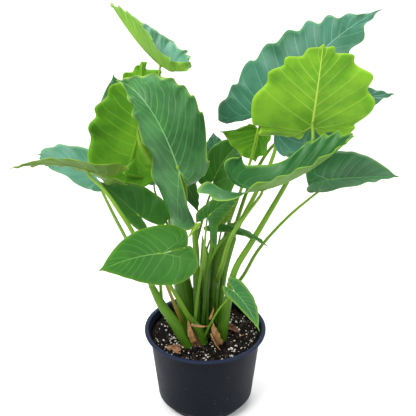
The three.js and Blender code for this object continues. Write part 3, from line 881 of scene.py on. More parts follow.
@dataclass(frozen=True)
class Rod:
    """A stem or stalk of round section: its path, and its radius along the path."""

    path: tuple[Point, ...]
    radius: tuple[float, ...]

    def centres(self, rings: int) -> Array:
        """Evenly spaced places along the path.

        The line is the cubic whose slopes weigh each point's steps by the square roots of their
        lengths, so it doesn't overshoot where the points crowd.

        Args:
            rings: number of places.

        Returns:
            One row for each place.
        """
        p = np.array(self.path, float)
        p = np.vstack([2 * p[0] - p[1], p, 2 * p[-1] - p[-2]])
        root = np.sqrt(np.linalg.norm(np.diff(p, axis=0), axis=1))[:, None]
        a, b, c, d = p[:-3], p[1:-2], p[2:-1], p[3:]
        u, v, w = root[:-2], root[1:-1], root[2:]
        start = ((b - a) / u - (c - a) / (u + v) + (c - b) / v) * v
        end = ((c - b) / v - (d - b) / (v + w) + (d - c) / w) * v
        t = np.linspace(0, 1, 24)[None, :, None]
        cubic = (2 * b - 2 * c + start + end)[:, None] * t**3
        square = (3 * c - 3 * b - 2 * start - end)[:, None] * t**2
        dense = (cubic + square + start[:, None] * t + b[:, None]).reshape(-1, 3)
        reach = np.concatenate([[0], np.cumsum(np.linalg.norm(np.diff(dense, axis=0), axis=1))])
        even = np.linspace(0, reach[-1], rings)
        return np.stack([np.interp(even, reach, dense[:, k]) for k in range(3)], 1)

    def skin(self, rings: int, sides: int, swelling: Array | None = None) -> Skin:
        """The rod's closed surface, a tube with rounded ends.

        Each ring is level with the plane that the path lies nearest to, so the tube doesn't twist.
        The ends' rings rise and narrow by shares of the last radius.

        Args:
            rings: rings along the rod.
            sides: facets around it.
            swelling: what the radius is multiplied by, one row for each ring.

        Returns:
            The surface, with values way, from start to end, and turn, around.
        """
        centre = self.centres(rings)
        ahead = unit(np.gradient(centre, axis=0))
        level = np.linalg.svd(ahead)[2][-1]
        across = unit(level - dot(ahead, level[None]) * ahead)
        up = np.cross(ahead, across)
        way = np.linspace(0, 1, rings)
        radius = through(np.array(self.radius, float)[:, None], way * (len(self.radius) - 1))
        radius = radius * np.ones(sides + 1) if swelling is None else radius * swelling
        turn = np.linspace(0, 1, sides + 1)
        ring = np.cos(2 * math.pi * turn)[None, :, None] * across[:, None]
        ring = ring + np.sin(2 * math.pi * turn)[None, :, None] * up[:, None]
        body = centre[:, None] + radius[..., None] * ring
        ends = []
        for i, sign in ((0, -1), (-1, 1)):
            cap = centre[i] + CAP_WIDTHS[:, None, None] * radius[i][None, :, None] * ring[i][None]
            ends.append(cap + sign * CAP_RISES[:, None, None] * radius[i].mean() * ahead[i])
        points = np.concatenate([ends[0][::-1], body, ends[1]])
        ways = np.concatenate([np.zeros(len(CAP_RISES)), way, np.ones(len(CAP_RISES))])
        values = {"way": np.repeat(ways, sides + 1), "turn": np.tile(turn, len(ways))}
        return Skin(points.reshape(-1, 3), grid_triangles(len(ways), sides + 1, 0, False, True), values)


@dataclass(frozen=True)
class LeafSize:
    """Shape of a leaf in millimetres and degrees; pairs are for the left and the right half.

    The midrib runs from junction to tip, its middle moved off the straight line by bow. Face is the
    way the upper side looks, and face_tip the same at the tip. Half is each half's greatest width
    and lobe its length behind the junction. Fold is the rise from flat, fold_lobe the same at the
    lobe's tip, curl the further rise to the margin, droop that of the lobe, and splay its turn
    outwards. Wave and waves are the height and the number of the margin's waves, and scallop how far
    they reach in and out. Taper narrows the lobe, sinus scales its inner edge, rounding moves the
    front edge forward and oval narrows it. Sweep is how many veins further forward a side vein ends
    than it starts, quilt the strength of the swells between veins, and approach how far below the
    blade its stalk bends in, as a share of the half.
    """

    junction: Point
    tip: Point
    bow: Point
    face: Point
    half: Pair
    lobe: Pair
    fold: Pair = (5, 5)
    curl: Pair = (-10, -10)
    droop: Pair = (15, 15)
    wave: Pair = (3, 3)
    waves: Pair = (4, 4)
    face_tip: Point | None = None
    fold_lobe: Pair | None = None
    splay: Pair = (0, 0)
    taper: Pair = (0, 0)
    sinus: Pair = (1, 1)
    scallop: Pair = (0, 0)
    rounding: Pair = (0, 0)
    oval: Pair = (0, 0)
    sweep: float = 0.6
    quilt: float = 1
    approach: float = 0.45
    stalk: Rod | None = None


# Leaves, from the photograph's upper left to its lower right, then those of the middle
LEAVES: dict[str, LeafSize] = {
    "top_left": LeafSize(
        junction=(-82, 60, 741), tip=(-186, 165, 832), bow=(3, -10, -11), face=(0.75, -0.1, 0.65),
        face_tip=(0.6, 0.5, 0.6), half=(54, 62), lobe=(80, 72), fold=(48, 52), curl=(0, 0), droop=(-75, -75),
        rounding=(0.45, 0.45), oval=(0.4, 0.1), wave=(8, 10), waves=(6, 6), scallop=(6, 8),
        stalk=Rod(((-62, 38, 395), (-68, 84, 521), (-76, 80, 648)), (5, 3)),
    ),
    "rear_left": LeafSize(
        junction=(-155, 160, 570), tip=(-187, 172, 680), bow=(0, -10, 4), face=(-0.1, -0.85, 0.45),
        half=(62, 40), lobe=(40, 40), droop=(20, 20), wave=(4, 4),
        stalk=Rod(((-64, 40, 360), (-66, 84, 420), (-84, 132, 492)), (4, 3)),
    ),
    "back_left": LeafSize(
        junction=(-136, 90, 579), tip=(-125, 140, 721), bow=(2, -8, 20), face=(-0.2, 0.85, 0.4),
        half=(110, 98), lobe=(88, 108), fold=(12, 12), curl=(-12, -12), droop=(10, 10), splay=(0, -14),
        sinus=(-0.8, -0.8), rounding=(0.6, -0.45), wave=(9, 8), waves=(5, 5), scallop=(6, 6), sweep=1.6,
        stalk=Rod(((-66, 38, 390), (-74, 44, 440), (-82, 54, 478), (-97, 67, 512)), (7, 4)),
    ),
    "centre": LeafSize(
        junction=(-50, -40, 566), tip=(-170, 40, 720), bow=(6, -35, 52), face=(0.2, -0.8, 0.6),
        half=(64, 128), lobe=(163, 84), fold=(-35, 8), fold_lobe=(-30, 8), curl=(-50, -50), droop=(5, 70),
        splay=(4, 0), taper=(-0.3, 0.18), sinus=(-0.2, 1), rounding=(-0.2, 0), oval=(0, 0.4), wave=(10, 5),
        waves=(4, 7), scallop=(5, 8), sweep=3,
        stalk=Rod(((-50, 22, 385), (-40, 14, 472), (-43, -12, 529)), (7, 4)),
    ),
    "far_left": LeafSize(
        junction=(-223, 0, 544), tip=(-384, 10, 545), bow=(5, -2, 14), face=(0.05, 0.42, 0.9), half=(48, 50),
        lobe=(75, 75), fold=(17, -3), fold_lobe=(50, -20), curl=(5, -5), droop=(-30, -15), wave=(3, 4),
        waves=(5, 5), scallop=(4, 5), approach=0.14,
        stalk=Rod(
            ((-105, -50, 305), (-126, -48, 376), (-142, -44, 431), (-168, -34, 475), (-197, -20, 514)),
            (6, 4),
        ),
    ),
    "left_rear": LeafSize(
        junction=(-228, 130, 466), tip=(-350, 150, 508), bow=(4, 2, 4), face=(0.1, -0.75, 0.62),
        half=(32, 46), lobe=(26, 50), rounding=(0.7, 0.7), waves=(3, 3), scallop=(3, 3), quilt=0.5,
        stalk=Rod(((-92, -42, 280), (-128, -10, 330), (-176, 50, 394), (-204, 98, 426)), (4.2, 3.4)),
    ),
    "front_left": LeafSize(
        junction=(-81, -118, 428), tip=(-203, -176, 422), bow=(2, 2, 7), face=(-0.05, -0.78, 0.62),
        half=(62, 56), lobe=(72, 64), fold=(3, 3), curl=(-12, -12), droop=(10, 10), splay=(-10, 12),
        sinus=(0, 0), wave=(2, 2), sweep=1.4,
        stalk=Rod(((-32, -38, 225), (-52, -56, 280), (-71, -83, 340), (-78, -98, 391)), (5.5, 3)),
    ),
    "small_rear": LeafSize(
        junction=(-115, 140, 476), tip=(-164, 165, 480), bow=(0, 0, 2), face=(0, -0.8, 0.6), half=(30, 34),
        lobe=(30, 32), wave=(2, 2),
        stalk=Rod(((-62, 38, 340), (-78, 70, 385), (-105, 118, 440)), (3, 2)),
    ),
    "left_shade": LeafSize(
        junction=(-129, 14, 434), tip=(-213, 45, 500), bow=(0, 0, 1), face=(0, -0.8, 0.6), half=(24, 56),
        lobe=(26, 46), curl=(-12, -12), waves=(3, 3), sweep=1.2, quilt=0.5,
        stalk=Rod(((-88, -48, 262), (-93, -14, 312), (-112, 8, 385)), (3.5, 2.5)),
    ),
    "top_right": LeafSize(
        junction=(143, 60, 653), tip=(345, 130, 831), bow=(-14, -20, 29), face=(-0.2, -0.85, 0.5),
        half=(104, 86), lobe=(135, 88), curl=(-25, -10), splay=(30, 10), rounding=(-0.45, -0.2), wave=(7, 7),
        waves=(7, 5), scallop=(8, 8), quilt=0.5,
        stalk=Rod(((24, 52, 246), (36, 58, 302), (57, 66, 357), (104, 68, 462), (138, 70, 548)), (6, 4)),
    ),
    "lime_right": LeafSize(
        junction=(203, -20, 651), tip=(215, -40, 824), bow=(0, -14, 12), face=(0, 0.85, 0.5),
        face_tip=(0, 0.75, 0.65), half=(122, 116), lobe=(30, 54), fold=(10, 10), curl=(-15, -15),
        droop=(-25, -25), taper=(0.2, 0.12), rounding=(0.65, 0.4), oval=(0.14, 0), wave=(8, 8),
        scallop=(8, 8), sweep=0.7,
        stalk=Rod(
            ((51, -27, 300), (64, -28, 345), (92, -28, 399), (128, -26, 470), (161, -24, 537),
             (188, -22, 601)),
            (7, 4.5),
        ),
    ),
    "folded_right": LeafSize(
        junction=(104, -80, 545), tip=(280, -60, 650), bow=(-3, -5, -18), face=(-0.1, -0.1, 1),
        half=(70, 72), lobe=(127, 116), fold=(55, 46), fold_lobe=(72, -12), curl=(0, 0), droop=(-88, -42),
        splay=(8, 0), taper=(-2, 0.4), sinus=(1, -1.6), rounding=(0.9, 0), oval=(0.65, 0.1), wave=(5, 5),
        waves=(5, 5), scallop=(4, 4), sweep=1.6, quilt=0.3, approach=0.12,
        stalk=Rod(((22, 44, 255), (34, -20, 340), (52, -46, 424), (80, -68, 486)), (6.3, 4)),
    ),
    "far_right": LeafSize(
        junction=(247, 30, 510), tip=(380, -30, 547), bow=(-2, 0, 3), face=(0, -0.75, 0.65), half=(62, 52),
        lobe=(54, 36), fold=(0, 55), curl=(-15, -10), droop=(10, 10), sinus=(-0.2, -0.2), splay=(-4, -4),
        wave=(2, 2), quilt=0.4, approach=0.25,
        stalk=Rod(((26, 46, 222), (71, 38, 268), (111, 38, 346), (168, 38, 421), (212, 38, 465)), (4, 3)),
    ),
    "small_right": LeafSize(
        junction=(18, 15, 418), tip=(125, -85, 419), bow=(4, 0, 14), face=(0, 0.1, 1), half=(15, 19),
        lobe=(24, 24), fold=(-20, -20), curl=(-30, -30), droop=(20, 20),
        stalk=Rod(((-32, 24, 225), (-12, 24, 300), (8, 20, 370)), (3, 2)),
    ),
    "small_front": LeafSize(
        junction=(60, -60, 303), tip=(109, -105, 238), bow=(3, 2, 5), face=(0.3, -0.8, 0.5), half=(26, 17),
        lobe=(30, 26), curl=(-20, -20), droop=(0, 0), wave=(2, 2),
        stalk=Rod(((-2, -36, 175), (12, -46, 219), (30, -52, 260)), (2.6, 2)),
    ),
    "behind_right": LeafSize(
        junction=(204, 142, 578), tip=(389, 152, 642), bow=(1, 0, 18), face=(0, -0.5, 0.8), half=(44, 55),
        lobe=(60, 70), fold=(10, 10), curl=(-15, -15), droop=(30, 30), wave=(4, 4), waves=(5, 5),
        stalk=Rod(((28, 50, 258), (58, 90, 351), (98, 122, 465), (146, 138, 540)), (5, 3.5)),
    ),
    "centre_rear": LeafSize(
        junction=(107, 110, 585), tip=(94, 78, 527), bow=(4, 4, 4), face=(0, 0.9, -0.1), half=(84, 30),
        lobe=(20, 20), fold=(-18, 0), droop=(60, 60), rounding=(0.9, 0.8), oval=(0, 0.2), wave=(5, 5),
        waves=(3, 3), scallop=(3, 3), quilt=0.6,
        stalk=Rod(((22, 56, 258), (42, 62, 367), (72, 60, 470), (90, 66, 530)), (4, 3)),
    ),
    "centre_dark": LeafSize(
        junction=(16, 60, 492), tip=(72, 118, 549), bow=(-2, -5, 11), face=(-0.1, -0.8, 0.6), half=(48, 44),
        lobe=(18, 30), fold=(10, 10), rounding=(0.7, 0.3), oval=(0.35, 0), waves=(3, 3), quilt=0.5,
        stalk=Rod(((-44, 28, 270), (-20, 46, 350), (4, 60, 440)), (3.5, 2.5)),
    ),
    "centre_low": LeafSize(
        junction=(5, -38, 463), tip=(73, -8, 494), bow=(0, 5, 5), face=(-0.1, -0.8, 0.6), half=(22, 24),
        lobe=(22, 64), fold=(10, 10), droop=(70, 30), splay=(0, 50), taper=(0, -0.4),
        stalk=Rod(((-22, -32, 205), (-14, -20, 280), (-2, -26, 380)), (3.5, 2.5)),
    ),
    "rear_teal": LeafSize(
        junction=(20, 120, 506), tip=(16, 150, 561), bow=(1, -3, 0), face=(0, -0.8, 0.6), half=(30, 34),
        lobe=(28, 28),
        stalk=Rod(((18, 58, 245), (12, 85, 364), (18, 118, 457)), (3, 2.2)),
    ),
    "inner_left": LeafSize(
        junction=(-50, 48, 514), tip=(-14, 38, 430), bow=(5, -2, -1), face=(0.3, -0.7, 0.6), half=(22, 22),
        lobe=(22, 22), wave=(2, 2),
        stalk=Rod(((-50, 30, 395), (-50, 46, 460)), (3, 2.2)),
    ),
    "pale_right": LeafSize(
        junction=(34, 44, 424), tip=(54, 54, 448), bow=(2, 0, 2), face=(0.2, 0.8, 0.5), half=(24, 24),
        lobe=(24, 24), wave=(2, 2),
        stalk=Rod(((17, 46, 225), (22, 34, 300), (27, 26, 360)), (2.6, 2)),
    ),
}

# Fallen leaves and dry sheaths that are nodes of the part
SCRAPS: dict[str, LeafSize] = {
    "litter_left": LeafSize(
        junction=(-56, -62, 161), tip=(-84, -56, 164), bow=(0, 0, 4), face=(0.1, -0.3, 1), half=(9, 8),
        lobe=(5, 5), fold=(25, 15), curl=(0, 20), droop=(0, 0), wave=(1.5, 1.5), waves=(2, 2),
    ),
    "litter_right": LeafSize(
        junction=(44, 26, 161), tip=(76, -6, 162), bow=(0, 0, 4), face=(-0.2, -0.3, 1), half=(10, 9),
        lobe=(6, 6), fold=(20, 25), curl=(10, 0), droop=(0, 0), wave=(1.5, 1.5), waves=(2, 2),
    ),
    "husk_left": LeafSize(
        junction=(-19, -46, 158), tip=(-35, -26, 216), bow=(-2, -4, 0), face=(0.1, -1, 0.1), half=(12, 12),
        lobe=(4, 4), fold=(10, 10), curl=(-20, -20), droop=(0, 0), wave=(1.5, 1.5), waves=(2, 2),
    ),
    "husk_right": LeafSize(
        junction=(29, -42, 160), tip=(17, -40, 206), bow=(-2, -5, 0), face=(-0.1, -1, 0.3), half=(8, 12),
        lobe=(4, 4), fold=(-10, -10), curl=(-30, -40), droop=(0, 0), wave=(1.5, 1.5), waves=(2, 2),
    ),
}

# Smaller shreds of dry sheath round the stem bases
CHIPS: dict[str, LeafSize] = {
    "husk_top": LeafSize(
        junction=(-25, -52, 179), tip=(-35, -44, 233), bow=(-2, -4, 0), face=(0.1, -1, 0.1), half=(6, 7),
        lobe=(4, 4), fold=(10, 10), curl=(-30, -30), droop=(0, 0), wave=(1.5, 1.5), waves=(3, 3),
    ),
    "husk_side": LeafSize(
        junction=(29, -50, 172), tip=(16, -46, 224), bow=(-2, -5, 0), face=(-0.1, -1, 0.2), half=(13, 11),
        lobe=(6, 6), fold=(-10, -10), curl=(-70, -70), droop=(0, 0), wave=(2, 2), waves=(3, 3),
    ),
    "band": LeafSize(
        junction=(-27, -50, 217), tip=(10, -50, 215), bow=(0, -3, -1), face=(0, -1, 0.2), half=(3.5, 3),
        lobe=(2, 2), fold=(-10, -10), curl=(-30, -30), droop=(0, 0), wave=(0.6, 0.6), waves=(3, 3),
    ),
    "shred": LeafSize(
        junction=(10, -46, 229), tip=(18, -44, 260), bow=(1, -2, 0), face=(0, -1, 0.2), half=(3, 3),
        lobe=(2, 2), fold=(-10, -10), curl=(-30, -30), droop=(0, 0), wave=(0.6, 0.6), waves=(3, 3),
    ),
}

# The pale end that curls up under the centre leaf
CURLED_TIP = LeafSize(
    junction=(-16, -52, 455), tip=(-35, -54, 423), bow=(1, 3, 0), face=(-0.2, 1, -0.3), half=(6, 9),
    lobe=(5, 5), fold=(-20, 10), curl=(-60, 40), droop=(0, 0), wave=(1, 1), waves=(2, 2),
)

# Stem bases, each from inside the soil to where its leaves part
STEMS: dict[str, Rod] = {
    "left": Rod(
        ((-32, -42, 142), (-36, -43, 160), (-60, -46, 214), (-89, -50, 268), (-108, -50, 312)),
        (11, 11.5, 11, 10, 7),
    ),
    "front": Rod(((-2, -31, 142), (-5, -32, 160), (-17, -34, 201), (-34, -38, 231)), (10, 10.5, 9, 6.5)),
    "centre": Rod(
        ((-24, 25, 142), (-27, 25, 160), (-44, 25, 254), (-56, 26, 339), (-61, 28, 424)),
        (21, 21, 18, 15, 11),
    ),
    "right": Rod(
        ((32, -25, 142), (33, -25, 160), (40, -25, 213), (47, -26, 262), (53, -27, 309)), (10, 11, 10, 9, 7),
    ),
    "rear": Rod(((11, 50, 142), (13, 50, 167), (18, 50, 213), (24, 50, 272)), (15, 15, 13, 10)),
}

# Thin stalks and furled sheaths in the middle of the clump
INNER_STALKS: dict[str, Rod] = {
    "a": Rod(
        ((-13, -6, 154), (-16, -3, 247), (-18, 0, 300), (-18, 3, 356), (-20, 5, 394), (-18, 6, 421)),
        (8.5, 8.5, 7.5, 6.5, 6),
    ),
    "b": Rod(
        ((-3, 6, 146), (-5, 10, 239), (-1, 12, 323), (-1, 14, 349), (-4, 16, 371), (-6, 17, 389)),
        (4.5, 5, 6.5, 8.5, 9.2, 1.2),
    ),
    "c": Rod(
        ((5, -10, 152), (3, -6, 252), (7, 0, 314), (13, 6, 368), (22, 12, 417), (28, 14, 446)),
        (5, 4.5, 4.5, 4, 4),
    ),
    "d": Rod(
        ((-7, -16, 161), (-1, -12, 253), (2, -6, 304), (9, 0, 336), (24, 6, 368), (47, 10, 401),
         (62, 12, 424)),
        (4, 4, 3.5, 3.5, 3),
    ),
    "e": Rod(((12, 20, 136), (16, 22, 231), (20, 24, 299), (35, 28, 359), (55, 30, 407)), (7.5, 8, 8, 6)),
    "f": Rod(((2, 30, 150), (8, 32, 250), (14, 34, 317), (18, 36, 368), (24, 38, 405)), (6, 8, 9, 8, 4)),
    "g": Rod(((29, 12, 162), (33, 14, 236), (41, 18, 307), (59, 22, 381)), (6, 6, 6, 5)),
}

# The old yellowing stalk between the left and the centre stem
OLD_STALK = Rod(((-54, -12, 148), (-50, -12, 198), (-62, -14, 240), (-80, -20, 300)), (4.2, 3.4))

# Bits of root and twig on the soil
TWIGS: dict[str, Rod] = {
    "rootlet": Rod(((12, -50, 195), (20, -60, 179), (31, -66, 166)), (1.8, 1.5, 1)),
    "twig_right": Rod(((44, -10, 155), (63, -12, 159), (81, -14, 168)), (1.6, 1.3, 0.8)),
    "twig_left": Rod(((-77, -52, 164), (-60, -60, 174), (-43, -66, 174)), (1.6, 1.2, 0.8)),
    "twig_low": Rod(((52, -30, 156), (64, -36, 147), (71, -40, 138)), (1.2, 1, 0.6)),
}


class Rib:
    """The midrib of a leaf: a curve through its junction, bowed middle and tip."""

    def __init__(self, size: LeafSize) -> None:
        """Works out the midrib: its control point stands twice the bow off the middle of the straight line.

        Args:
            size: the leaf's shape.
        """
        self.size = size
        self.start, self.end = np.array(size.junction, float), np.array(size.tip, float)
        self.control = (self.start + self.end) / 2 + 2 * np.array(size.bow, float)
        steps = np.diff(self.point(np.linspace(0, 1, 201)), axis=0)
        self.length = float(np.linalg.norm(steps, axis=1).sum())

    def point(self, share: Array) -> Array:
        """Places on the midrib at shares of the way to the tip: a parabola drawn to its control point."""
        s = np.asarray(share, float)[..., None]
        return (1 - s) ** 2 * self.start + 2 * s * (1 - s) * self.control + s**2 * self.end

    def frame(self, share: Array) -> tuple[Array, Array, Array]:
        """Directions at places on the midrib: forward, up from the upper side, and right.

        Args:
            share: shares of the way to the tip.

        Returns:
            The three directions, one row for each place.
        """
        s = np.asarray(share, float)[..., None]
        slope = 2 * (1 - s) * (self.control - self.start) + 2 * s * (self.end - self.control)
        forward = unit(slope)
        face = unit(np.array(self.size.face, float))
        face_tip = unit(np.array(self.size.face_tip or self.size.face, float))
        look = face + (face_tip - face) * s
        up = unit(look - dot(look, forward) * forward)
        return forward, up, np.cross(forward, up)


@dataclass(frozen=True)
class Relief:
    """Relief of a blade's surface, in millimetres and in shares.

    Swell is the height of the swells as a share of the vein spacing, up to swell_limit, and gap the
    least and the greatest spacing; swell_power below 1 moves the highest place towards the rib.
    Sweep_power bends the side veins, and wave_power keeps the wave near the margin. The midrib has a
    ridge below and a groove above, each with its height and its width. Their heights lose the share
    rib_thinning on the way to the tip, and start at the share lobe_rib on a lobe. Over the outer
    part of the way, from rim on, the blade loses the share thinning.
    """

    swell: float = 0.045
    swell_limit: float = 0.8
    swell_power: float = 0.8
    gap: Pair = (0.5, 60)
    sweep_power: float = 1.4
    wave_power: float = 4
    ridge: Pair = (2.2, 2.6)
    groove: Pair = (0.35, 1.6)
    rib_thinning: float = 0.8
    lobe_rib: float = 0.6
    rim: float = 0.93
    thinning: float = 0.65


class Blade:
    """The fine surface of a leaf's blade, on the same formulas as the part's plain one."""

    def __init__(self, size: LeafSize, rows: int = 12, density: int = 14, relief: Relief = Relief()) -> None:
        """Takes the leaf's shape, the rows from rib to edge, the columns for each wave, and the relief."""
        self.size, self.rows, self.density, self.relief = size, rows, density, relief
        self.rib = Rib(size)

    def outline(self, side: Side) -> Array:
        """Flat outline of a half.

        The standard outline's points are scaled by the half's width, the midrib's length and the
        lobe's length. The oval narrows the front by the square of the distance from the tip, rounding
        moves it forward most at its middle, and the taper narrows the lobe over its first points.

        Args:
            side: the half.

        Returns:
            Points from the tip round to the junction, in millimetres.
        """
        size, h = self.size, side.half
        front, lobe = np.array(FRONT_EDGE, float), np.array(LOBE_EDGE, float)
        front[:, 0] *= 1 - size.oval[h] * (1 - front[:, 1]) ** 2
        front[:, 1] += size.rounding[h] * front[:, 1] * (1 - front[:, 1])
        front *= (size.half[h], self.rib.length)
        inner = np.where(np.arange(WIDEST + 1, EDGE_END + 1) > LOBE_TIP, size.sinus[h], 1)
        tapered = 1 - size.taper[h] * np.minimum(1, np.arange(2, len(lobe) + 2) / 4)
        lobe[:, 0] *= inner * tapered * (1 - size.oval[h]) * size.half[h]
        lobe[:, 1] *= size.lobe[h]
        return np.concatenate([front, lobe])

    def columns(self, side: Side) -> tuple[Array, Array, Array]:
        """Edge parameters, feet and edge points of a half's columns, from tip to junction.

        A column's foot is on the midrib on the front, and on the lobe's own rib on the lobe. The
        edge is pushed in and out by the scallop, whose strength fades at the tip and the junction.

        Args:
            side: the half.

        Returns:
            The parameters, and two arrays of flat places.
        """
        size, outline = self.size, self.outline(side)
        front, back = self.density * max(size.waves), 3 * self.density
        v = np.concatenate([
            np.linspace(0, WIDEST, front + 1),
            np.linspace(WIDEST, LOBE_TIP, back + 1)[1:],
            np.linspace(LOBE_TIP, EDGE_END, back + 1)[1:],
        ])
        costa = through(outline, np.array([float(LOBE_TIP)])) * COSTA
        up_costa = np.interp(v, (WIDEST, LOBE_TIP, EDGE_END), (0, 1, 0))[:, None] * costa
        midrib = np.stack([0 * v, (1 - v / WIDEST) * self.rib.length], 1)
        foot = np.where((v <= WIDEST)[:, None], midrib, up_costa)
        edge = through(outline, v)
        reach = np.maximum(np.linalg.norm(edge - foot, axis=1), 1e-9)
        scallop = np.minimum(size.scallop[side.half] / reach, 0.16) * self.fade(v)
        push = scallop * np.cos(2 * math.pi * self.ripple(v, side))
        return v, foot, edge + (edge - foot) * push[:, None]

    def ripple(self, v: Array, side: Side) -> Array:
        """Number of the margin's waves passed: even along the front, slower behind, shifted by a sine.

        Args:
            v: edge parameters.
            side: the half.

        Returns:
            One number for each parameter.
        """
        uneven = 0.14 * np.sin(1.3 * v + 1.7 * side.value + 0.03 * self.size.junction[0])
        steps = np.minimum(v, WIDEST) + 0.45 * np.maximum(v - WIDEST, 0)
        return self.size.waves[side.half] * steps / WIDEST + uneven

    def fade(self, v: Array) -> Array:
        """Strength of the margin's wave: none at the tip and at the junction."""
        return np.clip(v, 0, 1) * np.clip((EDGE_END - v) / 2.5, 0, 1)

    def wave(self, v: Array, side: Side) -> Array:
        """Height of the margin's wave: a cosine of the waves passed, its strength varied by a slow sine.

        Args:
            v: edge parameters.
            side: the half.

        Returns:
            Heights in millimetres.
        """
        vary = 0.75 + 0.25 * np.sin(1.9 * v + 2.1 * side.value + self.size.junction[0] * 0.05)
        cycle = np.cos(2 * math.pi * self.ripple(v, side))
        return -self.size.wave[side.half] * self.fade(v) * vary * cycle

    def splayed(self, flat: Array, side: Side) -> Array:
        """Flat places with the lobe turned outwards: its angles about the junction are squeezed.

        Args:
            flat: places in the flat leaf.
            side: the half.

        Returns:
            The places, those in front of the junction unchanged.
        """
        x, y = flat[..., 0], flat[..., 1]
        reach = np.hypot(x, y)
        angle = np.arctan2(-y, x) * (1 - self.size.splay[side.half] / 90)
        turned = np.stack([reach * np.cos(angle), -reach * np.sin(angle)], -1)
        return np.where((y >= 0)[..., None], flat, turned)

    def bent(self, flat: Array, side: Side, lift: Array) -> tuple[Array, Array]:
        """Flat places bent into space.

        Across the half, the surface is an arc that starts at the fold's angle and turns by the
        curl. Behind the junction, the lobe follows an arc downwards that turns by the droop.

        Args:
            flat: places in the flat leaf.
            side: the half.
            lift: heights above the bent surface, along its normal.

        Returns:
            The places, and the directions that the upper side faces there.
        """
        size, h = self.size, side.half
        width, lobe = size.half[h], size.lobe[h]
        x, y = flat[..., 0:1], flat[..., 1:2]
        share = np.clip(y[..., 0] / self.rib.length, 0, 1)
        forward, up, right = self.rib.frame(share)
        back = np.maximum(-y, 0)
        deep = (size.fold_lobe or size.fold)[h]
        fold = np.radians(size.fold[h] + (deep - size.fold[h]) * np.clip(back / lobe, 0, 1))
        fold = np.where(np.abs(fold) < 1e-9, 1e-3, fold)
        curl = math.radians(size.curl[h]) or 1e-3
        angle = fold + curl * x / width
        across = (np.sin(angle) - np.sin(fold)) * width / curl
        rise = (np.cos(fold) - np.cos(angle)) * width / curl
        stiff = 0.12 * lobe
        droop = math.radians(size.droop[h]) or 1e-3
        arc = (lobe - stiff) / droop
        turn = droop * np.maximum(back - stiff, 0) / (lobe - stiff)
        behind = np.minimum(back, stiff) + arc * np.sin(turn)
        below = arc * (1 - np.cos(turn))
        tilted = up * np.cos(turn) - forward * np.sin(turn)
        opened = angle * np.minimum(1, np.abs(x) / (0.12 * width))
        normal = tilted * np.cos(opened) - right * side.value * np.sin(opened)
        place = self.rib.point(share) - forward * behind - up * below + right * side.value * across
        return place + tilted * rise + normal * lift[..., None], normal

    def half(self, side: Side) -> list[Skin]:
        """One half of the blade: its upper face, its lower face and its margin.

        The vein count rises along the margin by two for each wave, and outwards by the sweep times a
        power of the way out. Where it is whole there is a vein, and between veins the surface swells
        upwards by a share of their spacing, most a little inside half the way out. The margin's wave
        grows with the fourth power of the way out. The lower face has a ridge along the midrib and
        the lobe's rib that thins towards the end, the upper face a groove there, both of bell
        section, and the thickness falls to about a third at the margin.

        Args:
            side: the half.

        Returns:
            The three surfaces, with the values that the leaf finishes read.
        """
        relief = self.relief
        v, foot, edge = self.columns(side)
        out = np.linspace(0, 1, self.rows + 1)
        out = (out + 0.25 * np.sin(2 * math.pi * out) / (2 * math.pi))[None, :, None]
        flat = self.splayed(foot[:, None] + (edge - foot)[:, None] * out, side)
        out = out[..., 0] * np.ones((len(v), 1))
        reach = np.linalg.norm(edge - foot, axis=1)[:, None]
        count = 2 * self.ripple(v, side)[:, None] + self.size.sweep * out**relief.sweep_power
        step = np.linalg.norm(np.gradient(flat, axis=0), axis=-1)
        gap = np.clip(step / np.maximum(np.abs(np.gradient(count, axis=0)), 1e-6), *relief.gap)
        swells = self.size.quilt * np.minimum(relief.swell * gap, relief.swell_limit)
        swells = swells * np.sin(math.pi * count) ** 2
        swells = swells * np.sin(math.pi * np.clip(out, 0, 1) ** relief.swell_power) * self.fade(v)[:, None]
        lift = self.wave(v, side)[:, None] * out**relief.wave_power + swells
        place, normal = self.bent(flat, side, lift)
        front = v <= WIDEST
        along_rib = np.where(front, 1 - v / WIDEST, np.interp(v, (WIDEST, LOBE_TIP, EDGE_END), (0, 1, 0)))
        rib_mm = np.where(front[:, None], flat[..., 0], reach * out)
        rib_size = (1 - relief.rib_thinning * along_rib) * np.where(front, 1.0, relief.lobe_rib)
        ridge, groove = (
            height * rib_size[:, None] * np.exp(-((rib_mm / width) ** 2))
            for height, width in (relief.ridge, relief.groove)
        )
        thick = 0.5 * BLADE * (1 - relief.thinning * ease(out, relief.rim, 1.0))
        top = place + normal * (thick - groove)[..., None]
        under = place - normal * (thick + ridge)[..., None]
        shared = {
            "vein_count": count, "vein_gap": gap, "edge_mm": reach * (1 - out), "rib_mm": rib_mm,
            "rib_size": rib_size[:, None] * np.ones_like(out), "reach": out,
        }
        left = side is Side.LEFT
        rows, columns = out.shape
        tris = grid_triangles(rows, columns, 0, False, not left)
        faces = []
        for points, upper, turned in ((top, 1.0, tris), (under, 0.0, tris[:, ::-1])):
            values = {key: value.ravel() for key, value in shared.items()}
            values["upper"] = np.full(out.size, upper)
            faces.append(Skin(points.reshape(-1, 3), turned, values))
        rim = np.stack([top[:, -1], under[:, -1]], 1).reshape(-1, 3)
        values = {key: np.repeat(value[:, -1], 2) for key, value in shared.items()}
        values["upper"] = np.tile([1.0, 0.0], rows)
        faces.append(Skin(rim, grid_triangles(rows, 2, 0, False, not left), values))
        return faces

    def skin(self) -> Skin:
        """The whole closed blade."""
        return joined(self.half(Side.LEFT) + self.half(Side.RIGHT))


# Halves up to the first width, in millimetres, get a coarser grid; the second limits a stalk's bend
SMALL_HALF = 40
GREATEST_APPROACH = 70


